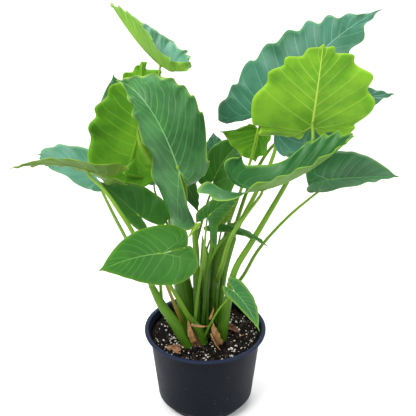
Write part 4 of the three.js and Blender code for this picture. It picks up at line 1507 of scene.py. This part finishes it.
class Leaf:
    """A leaf: the fine blade, and the smooth stalk that runs into its midrib."""

    def __init__(self, name: str, size: LeafSize) -> None:
        """Takes the leaf's name and shape."""
        self.name, self.size = name, size
        self.blade = Blade(size) if max(size.half) > SMALL_HALF else Blade(size, *SMALL_GRID)

    def stalk_rod(self) -> Rod:
        """The stalk's path from inside its stem to inside the blade's midrib.

        Returns:
            The rod.
        """
        size, rib = self.size, self.blade.rib
        forward, up, _ = (d[0] for d in rib.frame(np.array([0.0])))
        low, high = size.stalk.radius
        top = rib.point(0.0) + forward * (high + 2) - up * (BLADE / 2 + GAP)
        approach = size.approach * min(*size.half, GREATEST_APPROACH)
        near = top - up * approach - forward * 0.5 * approach
        inside = top + forward * 5 + up * 0.4
        path = size.stalk.path + tuple(tuple(p) for p in (near, top, inside))
        return Rod(path, (low, (low + high) / 2, high, high * 0.7))

    def build(self, blade: Material, stalk: Material) -> None:
        """Adds the blade and the stalk.

        Args:
            blade: the blade's finish.
            stalk: the stalk's finish.
        """
        make_piece(f"blade_{self.name}", self.blade.skin(), blade, (f"leaf_{self.name}_blade",))
        skin = self.stalk_rod().skin(*STALK_GRID)
        make_piece(f"stalk_{self.name}", skin, stalk, (f"leaf_{self.name}_stalk",))


@dataclass(frozen=True)
class SheathSize:
    """Sheaths round a stem base, in shares of its length and of its radius.

    The first sheath's edge starts at low and each next one a step higher, and an edge rises by slant
    on the side of its opening and ends over twice soft. Core is the radius inside the sheaths, and
    ridge the height of the fine ridges along the stem.
    """

    count: int = 5
    low: float = 0.12
    step: float = 0.19
    slant: float = 0.2
    soft: float = 0.008
    thickness: float = 0.045
    core: float = 0.87
    ridges: int = 9
    ridge: float = 0.012


class Stem:
    """A stem base wrapped in the sheaths of its leaves."""

    def __init__(self, name: str, rod: Rod, seed: int, size: SheathSize = SheathSize()) -> None:
        """Takes the stem's name, its path and radii, the seed of its sheaths, and their sizes."""
        self.name, self.rod, self.seed, self.size = name, rod, seed, size

    def build(self, finish: Material) -> None:
        """Adds the stem.

        Each sheath adds its thickness below a slanting edge: a height that rises with the angle
        away from the side opposite the sheath's own opening.

        Args:
            finish: the stem's finish.
        """
        size, (rings, sides) = self.size, STEM_GRID
        rng = np.random.default_rng(self.seed)
        way = np.linspace(0, 1, rings)[:, None]
        turn = np.linspace(0, 1, sides + 1)[None, :]
        swelling = np.full((rings, sides + 1), size.core)
        for k in range(size.count):
            off = np.abs((turn - rng.uniform(0, 1) + 0.5) % 1 - 0.5) * 2
            level = size.low + size.step * k + size.slant * (1 - off) ** 1.5
            below = 1 - ease(way, level - size.soft, level + size.soft)
            swelling = swelling + size.thickness * below * (1 - 0.5 * k / size.count)
        swelling = swelling + size.ridge * np.sin(2 * math.pi * size.ridges * turn + 6 * way) * (1 - way)
        skin = self.rod.skin(rings, sides, swelling)
        make_piece(f"wrapped_stem_{self.name}", skin, finish, (f"stem_{self.name}",))


@dataclass(frozen=True)
class PotSize:
    """Sizes of the nursery pot."""

    height: float = 178
    lip_radius: float = 127
    lip_depth: float = 10
    lip_face: float = 4.5
    mouth_radius: float = 119
    neck_radius: float = 116
    heel_radius: float = 99.6
    heel_height: float = 20
    foot_radius: float = 85
    foot_height: float = 9
    foot_width: float = 5
    wall: float = 2.6
    floor_height: float = 12
    notches: int = 6
    notch_width: float = 26
    drain_radius: float = 6
    drain_circle: float = 55


def rounded(profile: list[Pair], radius: float, steps: int = 4) -> Array:
    """A closed outline with each corner replaced by a short arc.

    Args:
        profile: corners in order.
        radius: how far from a corner its arc starts, less on short sides.
        steps: segments of each arc.

    Returns:
        The finer outline, one row for each point.
    """
    p = np.array(profile, float)
    back, ahead = np.roll(p, 1, 0) - p, np.roll(p, -1, 0) - p
    a = np.minimum(radius, 0.4 * np.linalg.norm(back, axis=1))[:, None]
    b = np.minimum(radius, 0.4 * np.linalg.norm(ahead, axis=1))[:, None]
    start, end = p + unit(back) * a, p + unit(ahead) * b
    t = np.linspace(0, 1, steps + 1)[None, :, None]
    arcs = (1 - t) ** 2 * start[:, None] + 2 * t * (1 - t) * p[:, None] + t**2 * end[:, None]
    return arcs.reshape(-1, 2)


class Pot:
    """The nursery pot: a turned wall with a rolled lip and notched foot, and a floor with drains."""

    def __init__(self, size: PotSize = PotSize()) -> None:
        """Takes the pot's sizes."""
        self.size = size

    def wall(self) -> Skin:
        """The wall, lip and foot as one closed ring: a rounded profile carried round the axis.

        At a notch the foot's low points are raised to just under the top of the foot.

        Returns:
            The surface.
        """
        p = self.size
        profile = [
            (p.foot_radius - p.foot_width, 0), (p.foot_radius, 0), (p.foot_radius, p.foot_height),
            (p.foot_radius + 0.62 * (p.heel_radius - p.foot_radius), p.foot_height + 3.5),
            (p.heel_radius, p.heel_height), (p.neck_radius, p.height - p.lip_depth),
            (p.lip_radius - 1.5, p.height - p.lip_face - 1.5), (p.lip_radius, p.height - p.lip_face),
            (p.lip_radius, p.height), (p.mouth_radius, p.height),
            (p.mouth_radius - 1.2, p.height - p.lip_face), (p.neck_radius - p.wall, p.height - p.lip_depth),
            (p.heel_radius - p.wall, p.heel_height + 1),
            (p.heel_radius - p.wall - 5, p.floor_height),
            (p.foot_radius - p.foot_width, p.floor_height),
        ]
        line = rounded(profile, 2.4)
        half = math.asin(p.notch_width / 2 / p.foot_radius)
        marks = -math.pi / 2 + 2 * math.pi * np.arange(p.notches) / p.notches
        steps = np.concatenate([marks + off for off in (-half - 0.012, -half, half, half + 0.012)])
        steps = (steps + math.pi) % (2 * math.pi) - math.pi
        turn = np.unique(np.round(np.concatenate([np.linspace(-math.pi, math.pi, 193), steps]), 6))
        off = np.abs((turn[:, None] - marks[None, :] + math.pi) % (2 * math.pi) - math.pi).min(axis=1)
        cut = (off <= half + 1e-5)[:, None]
        r, z = line[None, :, 0] + 0 * turn[:, None], line[None, :, 1] + 0 * turn[:, None]
        z = np.where(cut & (r < p.foot_radius + 0.5), np.maximum(z, p.foot_height - 0.2), z)
        points = np.stack([r * np.cos(turn)[:, None], r * np.sin(turn)[:, None], z], -1)
        tris = grid_triangles(len(turn), len(line), 0, True, False)
        return Skin(points.reshape(-1, 3), tris)

    def floor(self) -> Skin:
        """The floor as a closed plate, with a drain hole between each pair of spokes.

        Each sixth of the plate is a ring of rays from its hole to the sector's border, whose
        distance is the nearest of the two straight sides and the outer circle.

        Returns:
            The surface.
        """
        p = self.size
        rim = p.foot_radius - p.foot_width + 1.5
        sector = math.pi / p.notches
        ray = np.linspace(-math.pi, math.pi, 73)
        way = np.stack([np.cos(ray), np.sin(ray)], 1)
        hole = np.array([p.drain_circle, 0.0])
        along = way @ hole
        reach = -along + np.sqrt(along**2 - hole @ hole + rim**2)
        for sign in (-1, 1):
            side = np.array([-math.sin(sector), sign * math.cos(sector)])
            facing = way @ side
            to_side = np.where(facing > 1e-6, -(hole @ side) / np.maximum(facing, 1e-6), np.inf)
            reach = np.minimum(reach, to_side)
        skins = []
        for k in range(p.notches):
            turn = -math.pi / 2 + 2 * math.pi * k / p.notches
            matrix = np.array([[math.cos(turn), math.sin(turn)], [-math.sin(turn), math.cos(turn)]])
            inner, outer = (hole + way * p.drain_radius) @ matrix, (hole + way * reach[:, None]) @ matrix
            low, high = p.floor_height - p.wall, p.floor_height
            corners = ((inner, low), (outer, low), (outer, high), (inner, high), (inner, low))
            loops = [np.column_stack([flat, np.full(len(ray), z)]) for flat, z in corners]
            for a, b in ((0, 1), (2, 3), (3, 4)):
                band = np.concatenate([loops[a], loops[b]])
                skins.append(Skin(band, grid_triangles(2, len(ray), 0, False, True)))
        return joined(skins)

    def build(self, finish: Material) -> None:
        """Adds the pot."""
        skin = joined([self.wall(), self.floor()])
        make_piece("pot_shell", skin, finish, ("pot",))


@dataclass(frozen=True)
class SoilSize:
    """Sizes of the soil and counts of its grains.

    Relief is the height of its unevenness, which dies away from a little inside inner to the wall.
    """

    level: float = 160
    relief: float = 3
    inner: float = 97
    radius: float = 112.2
    foot_radius: float = 109.2
    depth: float = 24
    pale_grains: int = 460
    bark_bits: int = 900


class Soil:
    """Moist soil with a low mound, crumbs, pale mineral grains and bits of bark."""

    def __init__(self, size: SoilSize = SoilSize()) -> None:
        """Takes the soil's sizes."""
        self.size = size

    def height(self, x: Array, y: Array) -> Array:
        """The soil's uneven top: two crossed swells and a low mound round the stems, flat at the wall.

        Args:
            x: places across, in millimetres.
            y: places along, in millimetres.

        Returns:
            Heights in millimetres.
        """
        wave = 0.6 * np.sin(x / 13 + 1) * np.sin(y / 17) + 0.4 * np.sin((x + y) / 8)
        mound = np.exp(-(x * x + y * y) / 3600)
        fade = 1 - ease(np.hypot(x, y), self.size.inner - 5, self.size.radius - 6)
        return self.size.level + self.size.relief * (wave + 0.6 * mound) * fade

    def ground(self) -> Skin:
        """The soil as a closed cake: a disc of rings on the uneven top, and a tapered side and base.

        The top is broken into crumbs by three scales of swells.

        Returns:
            The surface.
        """
        size = self.size
        r = np.linspace(0, size.radius, 90)[:, None]
        turn = np.linspace(-math.pi, math.pi, 241)[None, :-1]
        x, y = r * np.cos(turn), r * np.sin(turn)
        flat = np.stack([x, y, 0 * x], -1)
        crumbs = 0.9 * swell(flat, 14, 3) + 0.7 * np.abs(swell(flat, 6, 4)) + 0.5 * swell(flat, 3.2, 5)
        crumbs = np.where(r == 0, crumbs.mean(), crumbs)
        top = np.stack([x, y, self.height(x, y) + crumbs], -1)
        taper = size.foot_radius / size.radius
        low = np.stack([taper * x[-1:], taper * y[-1:], 0 * x[-1:] + size.level - size.depth], -1)
        centre = np.broadcast_to([0, 0, size.level - size.depth], low.shape)
        points = np.concatenate([top, low, centre])
        tris = grid_triangles(len(points), points.shape[1], 0, True, False)
        return Skin(points.reshape(-1, 3), tris)

    def grains(self, count: int, seed: int, low: float, high: float, stretch: float) -> Skin:
        """Angular grains strewn over the soil, each half sunk: twenty faces with uneven corners.

        Args:
            count: number of grains.
            seed: seed of the draw.
            low: radius of the smallest grain.
            high: radius of the largest grain.
            stretch: how much longer than wide the longest grains are.

        Returns:
            The grains as one surface, with a value tone for each grain.
        """
        rng = np.random.default_rng(seed)
        phi = (1 + 5**0.5) / 2
        base = np.array([
            (-1, phi, 0), (1, phi, 0), (-1, -phi, 0), (1, -phi, 0), (0, -1, phi), (0, 1, phi),
            (0, -1, -phi), (0, 1, -phi), (phi, 0, -1), (phi, 0, 1), (-phi, 0, -1), (-phi, 0, 1),
        ]) / math.hypot(1, phi)
        faces = np.array([
            (0, 11, 5), (0, 5, 1), (0, 1, 7), (0, 7, 10), (0, 10, 11), (1, 5, 9), (5, 11, 4),
            (11, 10, 2), (10, 7, 6), (7, 1, 8), (3, 9, 4), (3, 4, 2), (3, 2, 6), (3, 6, 8),
            (3, 8, 9), (4, 9, 5), (2, 4, 11), (6, 2, 10), (8, 6, 7), (9, 8, 1),
        ])
        reach = (self.size.radius - 2.5) * np.sqrt(rng.uniform(0, 1, count))
        turn = rng.uniform(0, 2 * math.pi, count)
        x, y = reach * np.cos(turn), reach * np.sin(turn)
        size = low + (high - low) * rng.uniform(0, 1, count) ** 2.2
        shape = size[:, None] * (1 + rng.uniform(-0.3, stretch, (count, 3)) * (1, 1, 0.2))
        corners = base[None] * shape[:, None] * rng.uniform(0.72, 1.1, (count, 12, 1))
        spin = rng.uniform(0, 2 * math.pi, count)[:, None]
        tilt = rng.uniform(-0.6, 0.6, count)[:, None]
        cx, cy, cz = corners[..., 0], corners[..., 1], corners[..., 2]
        cx, cz = cx * np.cos(tilt) - cz * np.sin(tilt), cx * np.sin(tilt) + cz * np.cos(tilt)
        cx, cy = cx * np.cos(spin) - cy * np.sin(spin), cx * np.sin(spin) + cy * np.cos(spin)
        place = np.stack([x, y, self.height(x, y) + 0.35 * size + 0.5], -1)
        points = np.stack([cx, cy, cz], -1) + place[:, None]
        tris = (faces[None] + 12 * np.arange(count)[:, None, None]).reshape(-1, 3)
        return Skin(points.reshape(-1, 3), tris, {"tone": np.repeat(rng.uniform(0, 1, count), 12)})

    def build(self, soil: Material, pale: Material, bark: Material) -> None:
        """Adds the soil and its grains.

        Args:
            soil: the soil's finish.
            pale: the mineral grains' finish.
            bark: the bark bits' finish.
        """
        make_piece("soil_cake", self.ground(), soil, ("soil",))
        size = self.size
        for name, grains, finish in (
            ("pale_grains", self.grains(size.pale_grains, 11, 0.8, 2.9, 0.4), pale),
            ("bark_bits", self.grains(size.bark_bits, 12, 0.8, 3.4, 1.3), bark),
        ):
            piece = make_piece(name, grains, finish)
            piece.data.polygons.foreach_set("use_smooth", np.zeros(len(piece.data.polygons), bool))


@dataclass(frozen=True)
class View:
    """The photograph's camera: degrees below level, lens and sensor in millimetres, the rest in metres."""

    place: Point = (0.0059, -2.119, 1.618)
    below: float = 28.6
    lens: float = 105.1
    sensor: float = 36.0
    reach: float = 50.0


@dataclass(frozen=True)
class Softbox:
    """A square soft light: its place and side in metres, and its power in watts."""

    name: str
    place: Point
    side: float
    power: float


SOFTBOXES = (
    Softbox("key", (-1.6, -1.5, 2.9), 2.2, 150.0),
    Softbox("fill", (2.3, -1.2, 2.2), 2.2, 50.0),
    Softbox("rear", (0.2, 1.6, 3.0), 2.4, 90.0),
)

# Strength of the even light from all sides, where the lights look, in metres, and the floor's tone
WORLD_LIGHT = 0.3
AIM = Vector((0, 0, 0.4))
FLOOR_WHITE = 0.92


class Studio:
    """The photograph's camera, a pale floor and soft light."""

    def build(self) -> None:
        """Adds the camera, the floor and the lights."""
        self.camera(View())
        self.floor()
        for light in SOFTBOXES:
            self.softbox(light)
        world = bpy.data.worlds.new("studio")
        world.use_nodes = True
        background = world.node_tree.nodes["Background"]
        background.inputs["Color"].default_value = (1.0, 1.0, 1.0, 1.0)
        background.inputs["Strength"].default_value = WORLD_LIGHT
        bpy.context.scene.world = world
        bpy.context.scene.view_settings.view_transform = "Standard"

    def camera(self, view: View) -> None:
        """Adds the camera.

        Args:
            view: its place, angle and lens.
        """
        data = bpy.data.cameras.new("camera")
        data.lens, data.sensor_width, data.clip_end = view.lens, view.sensor, view.reach
        camera = bpy.data.objects.new("camera", data)
        camera.location = view.place
        camera.rotation_euler = (math.radians(90 - view.below), 0, 0)
        bpy.context.scene.collection.objects.link(camera)
        bpy.context.scene.camera = camera

    def floor(self) -> None:
        """A large pale floor that curves up behind the pot."""
        turn = np.linspace(0, math.pi / 2, 17)
        y = np.concatenate([[-6.0], 3.0 + 1.5 * np.sin(turn), [4.5]])
        z = np.concatenate([[0.0], 1.5 * (1 - np.cos(turn)), [6.0]])
        x = np.array([-8.0, 8.0])
        points = np.stack(np.broadcast_arrays(x[None], y[:, None], z[:, None]), -1).reshape(-1, 3)
        mesh = bpy.data.meshes.new("floor")
        mesh.from_pydata(points.tolist(), [], grid_triangles(len(y), 2, 0, False, True).tolist())
        mesh.polygons.foreach_set("use_smooth", np.ones(len(mesh.polygons), bool))
        material, _, shader = new_material("floor")
        shader.inputs["Base Color"].default_value = (FLOOR_WHITE, FLOOR_WHITE, FLOOR_WHITE, 1)
        shader.inputs["Roughness"].default_value = 0.8
        mesh.materials.append(material)
        floor = bpy.data.objects.new("floor", mesh)
        bpy.context.scene.collection.objects.link(floor)

    def softbox(self, softbox: Softbox) -> None:
        """Adds a soft light that looks at the middle of the plant.

        Args:
            softbox: its place, side and power.
        """
        data = bpy.data.lights.new(softbox.name, "AREA")
        data.size, data.energy = softbox.side, softbox.power
        light = bpy.data.objects.new(softbox.name, data)
        light.location = softbox.place
        light.rotation_euler = (AIM - Vector(softbox.place)).to_track_quat("-Z", "Y").to_euler()
        bpy.context.scene.collection.objects.link(light)


class Tone(Enum):
    """Looks of the blades, each with its finish."""

    DEEP = LeafFinish(
        "leaf_deep", upper=(0.024, 0.105, 0.012), upper_deep=(0.014, 0.075, 0.008),
        upper_vein=(0.065, 0.19, 0.03), under=(0.07, 0.19, 0.012), under_deep=(0.045, 0.14, 0.01),
        under_vein=(0.2, 0.34, 0.05), margin=(0.2, 0.36, 0.03),
    )
    FRESH = LeafFinish(
        "leaf_fresh", upper=(0.036, 0.15, 0.014), upper_deep=(0.022, 0.11, 0.01),
        upper_vein=(0.13, 0.31, 0.06), under=(0.09, 0.24, 0.014), under_deep=(0.06, 0.18, 0.01),
        under_vein=(0.24, 0.4, 0.05), margin=(0.24, 0.42, 0.03),
    )
    TEAL = LeafFinish(
        "leaf_teal", upper=(0.034, 0.15, 0.034), upper_deep=(0.02, 0.1, 0.022),
        upper_vein=(0.13, 0.31, 0.09), under=(0.09, 0.22, 0.014), under_deep=(0.06, 0.16, 0.01),
        under_vein=(0.24, 0.38, 0.06), margin=(0.3, 0.52, 0.05), sheen=0.22, border=0.32,
    )
    # Pale bluish upper colour: a painted reflection of the bright surroundings. The lime under colour is
    # partly the underside's own pale green and partly painted light shining through the blade.
    PAINTED_SHEEN = LeafFinish(
        "leaf_painted_sheen", upper=(0.075, 0.24, 0.16), upper_deep=(0.045, 0.18, 0.09),
        upper_vein=(0.2, 0.4, 0.26), under=(0.15, 0.33, 0.022), under_deep=(0.1, 0.25, 0.014),
        under_vein=(0.32, 0.5, 0.08), margin=(0.28, 0.46, 0.08), sheen=0.4,
    )
    # The bright lime under colour is partly the underside's own pale green and partly painted light shining
    # through the blade.
    LIME = LeafFinish(
        "leaf_lime", upper=(0.036, 0.15, 0.03), upper_deep=(0.022, 0.11, 0.02),
        upper_vein=(0.13, 0.31, 0.08), under=(0.18, 0.38, 0.018), under_deep=(0.09, 0.25, 0.012),
        under_vein=(0.4, 0.56, 0.08), margin=(0.36, 0.52, 0.03), glow=0.2, border=0.3, rib_width=3.0,
    )
    # The lime under colour is partly the underside's own pale green and partly painted light shining through
    # the blade.
    MOSS = LeafFinish(
        "leaf_moss", upper=(0.05, 0.17, 0.05), upper_deep=(0.03, 0.12, 0.03), upper_vein=(0.15, 0.33, 0.1),
        under=(0.11, 0.29, 0.012), under_deep=(0.055, 0.19, 0.008), under_vein=(0.24, 0.42, 0.03),
        margin=(0.3, 0.48, 0.03), glow=0.2,
    )
    OLIVE = LeafFinish(
        "leaf_olive", upper=(0.08, 0.17, 0.016), upper_deep=(0.05, 0.12, 0.012),
        upper_vein=(0.17, 0.3, 0.05), under=(0.1, 0.2, 0.014), under_deep=(0.06, 0.14, 0.01),
        under_vein=(0.2, 0.32, 0.05), margin=(0.24, 0.36, 0.04),
    )
    SEA = LeafFinish(
        "leaf_sea", upper=(0.048, 0.175, 0.11), upper_deep=(0.028, 0.125, 0.062),
        upper_vein=(0.2, 0.42, 0.29), under=(0.12, 0.28, 0.02), under_deep=(0.08, 0.2, 0.014),
        under_vein=(0.28, 0.44, 0.08), margin=(0.22, 0.42, 0.12), sheen=0.24,
    )
    PINE = LeafFinish(
        "leaf_pine", upper=(0.022, 0.115, 0.034), upper_deep=(0.012, 0.08, 0.018),
        upper_vein=(0.1, 0.28, 0.09), under=(0.08, 0.2, 0.014), under_deep=(0.05, 0.15, 0.01),
        under_vein=(0.22, 0.36, 0.06), margin=(0.16, 0.34, 0.06), sheen=0.28,
    )
    JADE = LeafFinish(
        "leaf_jade", upper=(0.046, 0.18, 0.044), upper_deep=(0.018, 0.095, 0.02),
        upper_vein=(0.18, 0.4, 0.13), under=(0.12, 0.28, 0.014), under_deep=(0.08, 0.2, 0.01),
        under_vein=(0.3, 0.44, 0.06), margin=(0.38, 0.56, 0.07), sheen=0.25, border=0.3, margin_width=2.6,
    )


class Matter(Enum):
    """Finishes of everything but the blades."""

    STALK = FleshFinish("stalk_flesh", (0.11, 0.24, 0.014), (0.18, 0.33, 0.026), (0.055, 0.15, 0.008))
    STEM = FleshFinish("stem_flesh", (0.042, 0.13, 0.005), (0.1, 0.23, 0.012), (0.025, 0.085, 0.004))
    SHEATH = FleshFinish("sheath_flesh", (0.09, 0.24, 0.012), (0.24, 0.42, 0.07), (0.06, 0.17, 0.01))
    STRAW = FleshFinish("old_straw", (0.28, 0.2, 0.03), (0.4, 0.31, 0.05), (0.14, 0.12, 0.02))
    PAPER = PaperFinish("dry_tissue", (0.34, 0.15, 0.06), (0.11, 0.04, 0.018), (0.5, 0.28, 0.13))
    RUSSET = PaperFinish("russet_tissue", (0.15, 0.045, 0.02), (0.045, 0.016, 0.009), (0.2, 0.08, 0.035))
    PALE = PaperFinish("pale_tissue", (0.4, 0.22, 0.07), (0.2, 0.09, 0.025), (0.5, 0.3, 0.12))
    # The rim colour is a painted bluish highlight on the lip
    PLASTIC = PlasticFinish(
        "pot_plastic", body=(0.003, 0.0045, 0.009), worn=(0.005, 0.007, 0.013), rim=(0.016, 0.024, 0.055),
        dust=(0.08, 0.1, 0.13),
    )
    PEAT = SoilFinish("peat", (0.003, 0.003, 0.0025), (0.015, 0.012, 0.009))
    MINERAL = GrainFinish("pale_mineral", (0.82, 0.8, 0.74), (0.4, 0.36, 0.3))
    BARK = GrainFinish("bark", (0.034, 0.022, 0.014), (0.007, 0.005, 0.004))


# The blades' looks; those of the leaves not named here are deep
LEAF_TONES = {
    "top_left": Tone.PAINTED_SHEEN, "left_rear": Tone.PAINTED_SHEEN, "small_rear": Tone.PAINTED_SHEEN,
    "top_right": Tone.SEA, "behind_right": Tone.SEA, "rear_teal": Tone.SEA, "back_left": Tone.MOSS,
    "centre_rear": Tone.MOSS, "lime_right": Tone.LIME, "front_left": Tone.FRESH, "folded_right": Tone.TEAL,
    "small_front": Tone.TEAL, "centre": Tone.JADE, "rear_left": Tone.PINE, "far_right": Tone.PINE,
    "centre_dark": Tone.FRESH, "pale_right": Tone.OLIVE, "far_left": Tone.OLIVE,
}

# The inner stalk that is a pale furled sheath, and the seed of the first stem's sheaths
FURLED_SHEATH = "b"
FIRST_STEM_SEED = 20


class PottedAlocasia:
    """The whole plant in its pot."""

    def __init__(self) -> None:
        """Makes the finishes."""
        effects = Effects()
        self.finish = {look: look.value.material(effects) for look in (*Tone, *Matter)}

    def build(self) -> None:
        """Adds every piece."""
        finish = self.finish
        Pot().build(finish[Matter.PLASTIC])
        Soil().build(finish[Matter.PEAT], finish[Matter.MINERAL], finish[Matter.BARK])
        for seed, (name, rod) in enumerate(STEMS.items(), FIRST_STEM_SEED):
            Stem(name, rod, seed).build(finish[Matter.STEM])
        for name, size in LEAVES.items():
            Leaf(name, size).build(finish[LEAF_TONES.get(name, Tone.DEEP)], finish[Matter.STALK])
        for name, rod in INNER_STALKS.items():
            matter = Matter.SHEATH if name == FURLED_SHEATH else Matter.STEM
            make_piece(f"inner_stalk_{name}", rod.skin(*INNER_GRID), finish[matter])
        for name, size in SCRAPS.items():
            matter = Matter.PAPER if name == "litter_left" else Matter.RUSSET
            make_piece(f"dry_{name}", Blade(size, *SCRAP_GRID).skin(), finish[matter], (name,))
        for name, size in CHIPS.items():
            make_piece(f"dry_{name}", Blade(size, *SMALL_GRID).skin(), finish[Matter.PALE])
        tip = Blade(CURLED_TIP, *SMALL_GRID)
        make_piece("curled_tip", tip.skin(), finish[Tone.LIME])
        for name, rod in TWIGS.items():
            make_piece(f"dry_{name}", rod.skin(*TWIG_GRID), finish[Matter.PAPER])
        skin = OLD_STALK.skin(*INNER_GRID)
        make_piece("dry_old_stalk", skin, finish[Matter.STRAW], ("old_stalk",))


def main() -> None:
    """Builds the plant and the studio."""
    logging.basicConfig(level=logging.INFO, format="%(message)s")
    PottedAlocasia().build()
    Studio().build()


if __name__ == "__main__":
    main()
